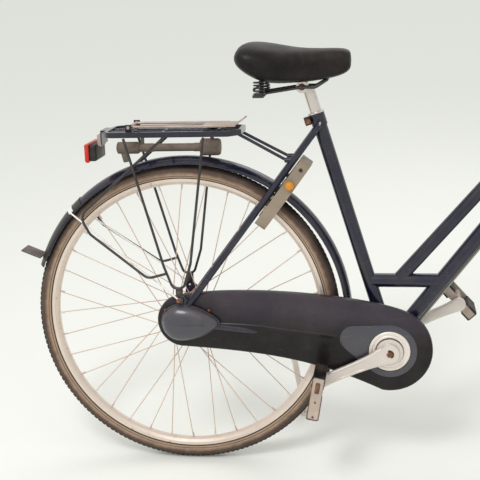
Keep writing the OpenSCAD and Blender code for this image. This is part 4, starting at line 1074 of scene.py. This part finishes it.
# %% [markdown]
# A forged crank is widest at the boss, slim in the middle and round at the pedal. Rounded sections
# are strung along it, and the outer face of those in the middle is pressed in for the groove. The
# boss, its dish and the eye are turned, and the bolt sits rusting in its recess.
# %% Cranks
CRANK_IN, CRANK_T = 66.0, 13.0
ARM_SECTIONS = ((0, 19, 0), (10, 20.5, 0), (24, 19.5, 0), (36, 17, 0), (46, 15.6, 0.6),
                (56, 14.6, 2.2), (82, 13.2, 2.6), (108, 12.6, 2.6), (126, 12.6, 2.2),
                (138, 13, 0.5), (150, 13.8, 0), (160, 14.6, 0), (168, 14.8, 0))
BOSS = [(9.5, -5.6), (29, -5.6), (29.5, -4.8), (29.5, -2), (22, 0), (22.5, 1), (22.5, 10.5),
        (21, 12.6), (18, 13.2), (11.5, 13.2), (10, 12.6), (10, 9), (0.5, 9)]
ARM_END = [(10, 0), (15, 0.8), (15, 12), (13.5, 13), (7, 13), (6.4, 12), (0.5, 12)]


def crank(name, eye, mirror):
    """A crank arm from the boss to an eye; mirror is -1 on the right and 1 on the left."""
    along = Vector((eye.x - BB.x, 0, eye.z - BB.z)).normalized()
    across = Vector((-along.z, 0, along.x))
    outwards = (0, mirror, 0)
    rings = []
    for s, half, groove in ARM_SECTIONS:
        ring = []
        for a in round_steps(32):
            u, v = squared(math.cos(a), 0.62), squared(math.sin(a), 0.5)
            depth = CRANK_IN + CRANK_T / 2 + v * CRANK_T / 2
            if v > 0.9 and abs(u) < 0.62:
                depth -= groove
            point = BB + along * s + across * (half * u)
            ring.append((point.x, mirror * depth, point.z))
        rings.append(ring)
    boss = lathe((BB.x, mirror * CRANK_IN, BB.z), outwards, BOSS, 48)
    end = lathe((eye.x, mirror * CRANK_IN, eye.z), outwards, ARM_END, 32)
    piece(name, [skin(rings, smooth=50), boss, end], alloy, "crank", [name.replace("_arm", "")])
    bolt = bolts(6.6, [((BB.x, mirror * (CRANK_IN + 9.4), BB.z), outwards)])
    piece(name + "_bolt", bolt, steel, "crank")


crank("crank_right_arm", RIGHT_EYE, -1)
crank("crank_left_arm", LEFT_EYE, 1)

# %% [markdown]
# A block pedal has two ribbed treads between end plates, with the axle through the
# middle. It is drawn level at its eye and then swung to how it hangs. The outer plate has an empty
# reflector pocket that has gone to rust, and two rivets.
# %% Pedals
PEDAL_L, PEDAL_W, PEDAL_H = 98.0, 90.0, 27.0
PEDAL_IN = CRANK_IN + CRANK_T + 6
PEDAL_OUT = PEDAL_IN + PEDAL_W
HALF_BAR = 13.0
RIDGE_STEPS = ((0, 0), (3.0, 0), (3.6, 1.8), (4.4, 1.8))
POCKET = ((13, -6), (40, -6), (40, 6), (13, 6))


def hung(eye, swing, x, z):
    """A place on a pedal, once it has swung about its eye."""
    return eye + Matrix.Rotation(math.radians(swing), 3, "Y") @ Vector((x, 0, z))


def tread_bar(x, eye, mirror, swing):
    """One tread with ridges across it, above and below."""
    top = PEDAL_H / 2
    section = []
    for s in (1, -1):
        section += [(-s * HALF_BAR, s * (3 - top)), (-s * HALF_BAR, s * (top - 3))]
        section += [(s * (1.5 + 4.8 * k + step - HALF_BAR), s * (top - sunk))
                    for k in range(5) for step, sunk in RIDGE_STEPS]
    rings = []
    for y, inset in ((PEDAL_IN + 3, 1.2), (PEDAL_IN + 4, 0), (PEDAL_OUT - 4, 0), (PEDAL_OUT - 3, 1.2)):
        shrink = 1 - inset / HALF_BAR
        places = [hung(eye, swing, x + px * shrink, pz * shrink) for px, pz in section]
        rings.append([(p.x, mirror * y, p.z) for p in places])
    return skin(rings, smooth=30)


def pedal(name, body, eye, mirror, swing):
    """A pedal on its eye, swung about its axle."""
    def swung(low, high, soft):
        ys = sorted((mirror * low[1], mirror * high[1]))
        low = (eye.x + low[0], ys[0], eye.z + low[2])
        high = (eye.x + high[0], ys[1], eye.z + high[2])
        return slab(low, high, soft, 3, swing, (eye.x, 0, eye.z))

    half = PEDAL_L / 2
    treads = [tread_bar(x, eye, mirror, swing) for x in (HALF_BAR - half, half - HALF_BAR)]
    piece(name + "_treads", treads, black_plastic, body, [name])
    cage = [swung((3 - half, PEDAL_OUT - 4.4, -12.2), (half - 1, PEDAL_OUT - 0.4, 12.2), 3.4),
            swung((3 - half, PEDAL_IN, -9), (half - 3, PEDAL_IN + 3.4, 9), 2),
            rod((eye.x, mirror * (PEDAL_IN - 5.5), eye.z), (eye.x, mirror * (PEDAL_OUT - 1), eye.z), 8)]
    piece(name + "_cage", cage, dull_alloy, body)
    corners = [hung(eye, swing, x, z) for x, z in POCKET]
    rim = wire([(p.x, mirror * (PEDAL_OUT - 0.9), p.z) for p in corners], 1.1, 4, dull_alloy, 10,
               closed=True)
    piece(name + "_pocket_rim", rim, dull_alloy, body)
    floor_plate = swung((13, PEDAL_OUT - 2, -6), (40, PEDAL_OUT - 0.3, 6), 0.8)
    heads = [hung(eye, swing, x, 0) for x in (-6, -40)]
    rivets = bolts(2.6, [((p.x, mirror * (PEDAL_OUT - 1.4), p.z), (0, mirror, 0)) for p in heads])
    piece(name + "_rivets", [floor_plate, rivets], steel, body)


pedal("pedal_right", "pedal_right", RIGHT_EYE, -1, -80)
pedal("pedal_left", "pedal_left", LEFT_EYE, 1, 48)

# %% [markdown]
# The saddle is a pad: foam on a shell under stretched black vinyl, broad behind and narrow at the
# nose. Cloth would sag where this cover is glued down tight, so it is lofted instead: sections are
# strung from tail to nose, each an egg-like ring with its own width, top and bottom, and a
# subdivision surface draws the cover over them.
# %% Saddle cover
SADDLE_X, SADDLE_TOP = 131.0, 957.0
HEM_POINT, HEM_IN = 13, 0.965
stations = [(3, 60, -26, -36), (7, 80, -13, -46), (16, 94, -3.5, -56), (31, 100, -0.3, -67),
            (52, 101, -0.8, -79), (78, 92, -4.5, -86.5), (106, 74, -9.5, -87.5), (136, 55, -14.5, -87),
            (166, 43.5, -16, -85), (196, 36.5, -16.5, -81), (222, 33.5, -17, -75), (238, 29, -19.5, -68),
            (246, 21, -27, -58)]


def on_saddle(s, y, z):
    """A place on the saddle: s from its tail, z from its top."""
    return SADDLE_X + s, y, SADDLE_TOP + z


def saddle_ring(s, half, top, bottom):
    """One section of the saddle, flatter below than above."""
    middle = top + (bottom - top) * 0.5
    dip = 2.2 * max(0.0, 1 - abs(s - 120) / 130)
    ring = []
    for a in round_steps(40):
        upper = math.cos(a) > 0
        y = half * squared(math.sin(a), 0.74 if upper else 0.5)
        reach = top - middle if upper else middle - bottom
        z = middle + reach * squared(math.cos(a), 0.82)
        if upper:
            z -= dip * math.exp(-(y / 14) ** 2)
        ring.append(on_saddle(s, y, z))
    return ring


sections = [saddle_ring(*station) for station in stations]
cover = piece("saddle_cover", skin(sections, smooth=180), vinyl, "frame", ["saddle"], soft_steps=1)
hem = [(x, y * HEM_IN, z) for x, y, z in (ring[HEM_POINT] for ring in sections[2:-1])]
edge_loop = hem + [on_saddle(241, 0, -62)] + [(x, -y, z) for x, y, z in reversed(hem)]
piece("saddle_piping", wire(edge_loop, 1.3, 6, vinyl, 8, closed=True), vinyl, "frame")

# %% [markdown]
# Under the saddle two rails run back from the nose to a cross plate, and a coil spring stands at
# each side between the plate and the shell. The coil is a path of points on a rising circle, swept
# by the same wire tree.
# %% Saddle springs
RAIL_Y = 24.0
POST_X, POST_Z = 284.5, 857.0
SPRING_X, PLATE_Z = 54, -109
rail = [on_saddle(196, -15, -81.3), on_saddle(170, -RAIL_Y, -97), (POST_X - 12, -RAIL_Y, POST_Z + 4),
        on_saddle(50, -RAIL_Y, PLATE_Z)]
underneath = both(rail, 3.5, 16, steel)
COIL_R, COIL_RISE, COIL_TURNS, TURN_STEPS = 11.0, 30, 5, 14
for y in (-52, 52):
    coil = []
    for k in range(COIL_TURNS * TURN_STEPS + 1):
        a = math.tau * k / TURN_STEPS
        rise = COIL_RISE * k / (COIL_TURNS * TURN_STEPS)
        coil.append(on_saddle(SPRING_X + COIL_R * math.cos(a), y + COIL_R * math.sin(a), PLATE_Z + rise))
    underneath.append(wire(coil, 2.0, 0, steel, 8))
    underneath.append(rod(on_saddle(SPRING_X, y, PLATE_Z - 3), on_saddle(SPRING_X, y, PLATE_Z + 5), 9))
underneath.append(slab(on_saddle(40, -58, -114), on_saddle(64, 58, -107.5), 1.2))
underneath.append(rod(on_saddle(44, -64, -96), on_saddle(44, 64, -96), 2.4))
piece("saddle_undercarriage", underneath, black_wire, "frame", ["saddle_springs"])
SEAT_ANGLE, SEAT_TUBE = 73.25, 543
SEAT_WAY = way_at(180 - SEAT_ANGLE)
SEAT_TOP = BB + SEAT_TUBE * SEAT_WAY
COLLAR = [(17.2, 0), (18.4, 0.8), (18.4, 3.4), (17, 4.2), (14.6, 4.4)]
piece("seat_collar", lathe(SEAT_TOP - 3 * SEAT_WAY, SEAT_WAY, COLLAR, 36), chrome, "frame")
pinch = SEAT_TOP - 13 * SEAT_WAY - 22 * Vector((SEAT_WAY.z, 0, -SEAT_WAY.x))
pinch_bolts = [((pinch.x, s * 15, pinch.z), (0, s, 0)) for s in (-1, 1)]
piece("seat_pinch_bolt", bolts(4.4, pinch_bolts), steel, "frame")
clamp_bolts = [((POST_X - 12, s * (RAIL_Y - 3.4), POST_Z + 4), (0, s, 0)) for s in (-1, 1)]
piece("saddle_clamp_bolts", bolts(5, clamp_bolts), steel, "frame")

# %% [markdown]
# The handlebar is one bent tube that sweeps out, up and back to the grips. Only its corner points
# are given, and the wire tree rounds them as a tube bender would.
# %% Handlebar and grips
BAR_R = 11.1
BAR_Z = 1000.0
HEAD_SLOPE, STEM_REACH = 0.364, 44
head_top = joint_place("steering_turn")
CLAMP_X = head_top.x - (BAR_Z - head_top.z) * HEAD_SLOPE + STEM_REACH
GRIP_WAY = Vector((-118, -34, -8)).normalized()
GRIP_END = Vector((CLAMP_X - 176, -280.9, BAR_Z + 28))
GRIP_L = 118.0
GRIP_START = GRIP_END - GRIP_L * GRIP_WAY
half_bar = [GRIP_END - 4 * GRIP_WAY, GRIP_END - 176 * GRIP_WAY, (CLAMP_X + 30, -96, BAR_Z + 24),
            (CLAMP_X, -40, BAR_Z)]
bar = wire(half_bar + list(reversed(flip(half_bar))), BAR_R, 46, chrome, 28)
piece("handlebar_tube", bar, chrome, "steering", ["handlebar"])
SLEEVE = [(11.6, 0), (16.8, 0.6), (17, 3), (15.6, 6), (15.2, GRIP_L - 10), (16.8, GRIP_L - 6),
          (17, GRIP_L - 2), (13, GRIP_L)]


def mirrored(place, mirror):
    """A place or direction on the right, or for -1 the same on the left."""
    return Vector((place[0], mirror * place[1], place[2]))


sleeves = []
for mirror in (1, -1):
    start, end = mirrored(GRIP_START, mirror), mirrored(GRIP_END, mirror)
    way = (end - start).normalized()
    sleeves += [lathe(start, way, SLEEVE, 32),
                ribs([start + 10 * way, end - 14 * way], 15.4, 0.9, 22, rubber)]
piece("grip_sleeves", sleeves, rubber, "steering", ["grips"])

# %% [markdown]
# Each brake lever has a clamp round the bar, a short bracket and a curved blade. The blade is a
# tapered rod in two lengths that overlap at a soft joint.
# %% Brake levers
levers, lever_bolts = [], []
LEVER_AT = GRIP_START - 22 * GRIP_WAY
KNUCKLE = LEVER_AT + 12 * GRIP_WAY + Vector((28, -10, -24))
BLADE_END = LEVER_AT + 112 * GRIP_WAY + Vector((24, -12, -36))
LEVER_CLAMP = [(12, 0), (16, 0.8), (17, 3), (17, 17), (16, 19.2), (12, 20)]
BLADE_BALL = [(2, 0), (4.4, 2), (5, 5), (4.2, 8), (2, 9.6)]
for mirror in (1, -1):
    at_bar, knuckle, tip, way = (mirrored(p, mirror) for p in (LEVER_AT, KNUCKLE, BLADE_END, GRIP_WAY))
    middle = knuckle.lerp(tip, 0.5) + Vector((2.5, mirror * -1.5, 0))
    pin = Vector((3, 0, -6))
    levers += [lathe(at_bar - 10 * way, way, LEVER_CLAMP, 28),
               rod(at_bar + Vector((6, mirror * -2, -11)), knuckle, 6.5, 5),
               rod(knuckle - pin, knuckle + pin, 6),
               rod(knuckle, middle, 4.6, 4.0),
               rod(middle - 2 * way, tip, 4.1, 3.2),
               lathe(tip - 4 * way, way, BLADE_BALL, 20)]
    lever_bolts.append((at_bar + Vector((12, 0, -12)), (0.6, 0, -0.8)))
piece("lever_blades", levers, alloy, "steering", ["brake_levers"])
piece("lever_screws", bolts(3, lever_bolts), steel, "steering")

# %% [markdown]
# The bell, the headlamp and the dynamo are all turned shapes: a pressed dome, a bowl with a fluted
# lens, and a bottle with a knurled wheel.
# %% Bell, headlamp and dynamo
BELL = Vector((CLAMP_X + 10.8, 60.2, BAR_Z + 8.6))
BELL_DOME = [(20, 16.8), (24.6, 17.2), (25, 18.8), (24.4, 22.8), (22, 27.8), (18, 31.8), (12, 34.2),
             (6, 35), (5.6, 36.4), (2, 37)]
BELL_CLAMP = [(12, 0), (14.4, 0.8), (15, 3), (15, 11), (14.4, 13.2), (12, 14)]
bell_way = Vector((30, 56, 24)).normalized()
parts = [lathe(BELL, (0, 0, 1), BELL_DOME, 40),
         rod(BELL + Vector((0, 0, 10)), BELL + Vector((0, 0, 22)), 6),
         lathe(BELL - 7 * bell_way, bell_way, BELL_CLAMP, 28)]
piece("bell_dome", parts, chrome, "steering", ["bell"])
CROWN = Vector((889.4, 0, 784.6))
LAMP = CROWN + Vector((78, 0, 20))
BOWL = [(2, -30), (12, -29), (18.5, -25), (24, -14), (28, 0), (30.2, 14), (31, 21), (31.4, 23),
        (30.4, 25), (29.4, 24)]
bowl = [lathe(LAMP, (1, 0, 0), BOWL, 48), rod(CROWN + Vector((12, 0, -10)), LAMP - Vector((24, 0, 4)), 5)]
piece("headlamp_bowl", bowl, chrome, "steering", ["headlamp"])
GLASS = [(29, 22.4), (29, 24.5), (27.5, 26.4), (20, 28.2), (10, 29), (1, 29.2)]
glass = [lathe(LAMP, (1, 0, 0), GLASS, 48)]
for y in range(-20, 21, 5):
    tall = math.sqrt(26 ** 2 - y * y) * 0.92
    glass.append(rod(LAMP + Vector((27.2, y, -tall)), LAMP + Vector((27.2, y, tall)), 1.3, steps=8))
piece("headlamp_glass", glass, clear_lens, "steering", ["headlamp_lens"])
HEAD_WAY = Vector((-0.342, 0, 0.9397))
HEAD_FOOT = Vector((FRONT_AXLE.x - 61.72, 0, WHEEL_R))
BOTTLE = [(12, 205), (17, 206), (19, 210), (19, 272), (18, 280), (12, 288), (9, 291), (9, 304.5)]
bottle_at = HEAD_FOOT + 36.5 * Vector((0.9397, 0, 0.342)) + Vector((0, 46, 0))
roller_at = bottle_at - Vector((0, 9, 0))
arm_at = HEAD_FOOT + 250 * HEAD_WAY + Vector((9.5, 46, 3.5))
parts = [lathe(bottle_at, HEAD_WAY, BOTTLE, 36),
         lathe(roller_at, HEAD_WAY, [(9, 304), (12, 305), (12, 319), (9, 320)], 30),
         ribs([roller_at + HEAD_WAY * 306, roller_at + HEAD_WAY * 318], 11.7, 0.5, 9, alloy),
         rod(arm_at, bottle_at + 250 * HEAD_WAY - Vector((11, 0, 4)), 6)]
piece("dynamo_bottle", parts, alloy, "steering", ["dynamo"])

# %% [markdown]
# Brake cables run in a pale sheath. Two stay on one body each.
# %% Cables
DOWN_WAY = way_at(52.3)
DOWN_TOP = Vector((874.46, 0, 825.55))
CABLE_R = 2.5
CABLE_OUT = 16.5 + CABLE_R + GAP


def by_down_tube(t, angle, out_by):
    """A place beside the down tube: t along it, out from its axis, at an angle from straight below."""
    turn = math.radians(angle)
    out = Vector((math.cos(turn) * DOWN_WAY.z, -math.sin(turn), math.cos(turn) * -DOWN_WAY.x))
    return BB.lerp(DOWN_TOP, t) + out_by * out


def chainstay_at(x):
    """The left chainstay's axis at an x."""
    start, end = Vector((BB.x - 14, 26, BB.z + 2)), Vector((20, DROP_Y + 2.5, WHEEL_R - 3))
    return start.lerp(end, (start.x - x) / (start.x - end.x))


CABLE_TOP = by_down_tube(0.86, 0, CABLE_OUT)
beside_stay = Vector((0, 17, 0))
rear_run = [CABLE_TOP, by_down_tube(0.12, 0, CABLE_OUT), BB + Vector((36, 6, 13)),
            BB + Vector((20, 11, -20)), BB + Vector((-8, 18, -28)), (398, 43, 280), (340, 48, 297),
            chainstay_at(262) + beside_stay, chainstay_at(190) + beside_stay, (160, 57, 313),
            (132, 53.8, 312)]
piece("rear_cable", wire(rear_run, CABLE_R, 16, sheath), sheath, "frame", ["rear_brake_cable"])
ARCH = Vector((CLAMP_X + 52, -196, BAR_Z - 20))
CABLE_START = KNUCKLE + 6 * (ARCH - KNUCKLE).normalized()


def on_head(s, y):
    """A place beside the steering axis."""
    return HEAD_FOOT + s * HEAD_WAY + Vector((0, y, 0))


front_run = [mirrored(CABLE_START, -1), mirrored(ARCH, -1), (CLAMP_X + 70, 90, BAR_Z - 110),
             on_head(400, 63), on_head(300, 58), on_head(190, 62), (FRONT_AXLE.x - 36, 56, WHEEL_R + 116),
             (FRONT_AXLE.x - 30, 44.8, WHEEL_R + 100)]
piece("front_cable", wire(front_run, CABLE_R, 30, sheath), sheath, "steering", ["front_brake_cable"])
loop_run = [CABLE_START, ARCH, (CLAMP_X + 66, -90, BAR_Z - 100),
            (CLAMP_X + 18, -50, BAR_Z - 172), (CLAMP_X - 8, -36, BAR_Z - 232),
            by_down_tube(0.93, 30, CABLE_OUT + 12), CABLE_TOP + 0.9 * DOWN_WAY]
loop_mesh = wire(loop_run, CABLE_R, 30, sheath)
loop = bpy.data.objects.new("cable_loop", loop_mesh)
scene.collection.objects.link(loop)
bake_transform(loop)
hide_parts("steering_cable_loop")
print("cables laid")

# %% [markdown]
# What is left is small: the nuts on the two axles.
# %% Axle nuts
NUT_R = 7.5
rear_nuts = [((0, -70.4, WHEEL_R), (0, -1, 0)), ((0, 70.2, WHEEL_R), (0, 1, 0))]
piece("rear_axle_nuts", bolts(NUT_R, rear_nuts), steel, "frame")
front_nuts = [((FRONT_AXLE.x, s * 63.2, WHEEL_R), (0, s, 0)) for s in (-1, 1)]
piece("front_axle_nuts", bolts(NUT_R, front_nuts), steel, "steering")

# %% [markdown]
# The stage is one wide pale floor. No wall
# stands behind it, so the bicycle can be seen from any side, and the soft shadow stays on it.
# %% Floor
FLOOR_REACH = 60.0
mesh = bpy.data.meshes.new("studio_floor")
corners = [(x, y, 0.0) for x, y in ((-1, -1), (1, -1), (1, 1), (-1, 1))]
mesh.from_pydata([(x * FLOOR_REACH, y * FLOOR_REACH, z) for x, y, z in corners], [], [(0, 1, 2, 3)])
floor = bpy.data.objects.new("studio_floor", mesh)
scene.collection.objects.link(floor)
floor_paint = bpy.data.materials.new("floor_paint")
floor_paint.use_nodes = True
paint = floor_paint.node_tree.nodes["Principled BSDF"].inputs
paint["Base Color"].default_value = rgb(246, 248, 241)
paint["Roughness"].default_value = 1.0
paint["Specular IOR Level"].default_value = 0.0
mesh.materials.append(floor_paint)
print("floor ready")

# %% [markdown]
# Studio light is mostly even, with one broad lamp above the camera's left to give the tubes a
# long highlight. The level is plain, so a colour renders about as it is written. Past the floor's
# edge the camera sees the world, so for its rays alone the world takes the floor's colour.
# %% Light
world = bpy.data.worlds.new("studio")
scene.world = world
world.use_nodes = True
tree = world.node_tree
tree.nodes.clear()
lit = first(tree, "ShaderNodeBackground", {"Color": (1.0, 1.0, 1.0, 1.0), "Strength": 0.79})
seen = first(tree, "ShaderNodeBackground", {"Color": rgb(224, 227, 220), "Strength": 1.0})
camera_ray = put(tree, "ShaderNodeLightPath").outputs["Is Camera Ray"]
sky = first(tree, "ShaderNodeMixShader", {0: camera_ray, 1: lit, 2: seen})
put(tree, "ShaderNodeOutputWorld", {"Surface": sky})
scene.view_settings.view_transform = "Standard"


def softbox(name, place, target, size, watts):
    """A square area lamp that looks from one upright place to another."""
    lamp = bpy.data.objects.new(name, bpy.data.lights.new(name, "AREA"))
    lamp.data.size = size
    lamp.data.energy = watts
    start, end = at(*place), at(*target)
    lamp.location = start
    lamp.rotation_euler = (end - start).to_track_quat("-Z", "Y").to_euler()
    scene.collection.objects.link(lamp)


softbox("key", (-500, -1900, 2600), (450, 0, 450), 0.9, 30)
softbox("rim", (900, 1500, 2300), (450, 0, 500), 1.2, 7)
print("lamps and world ready")
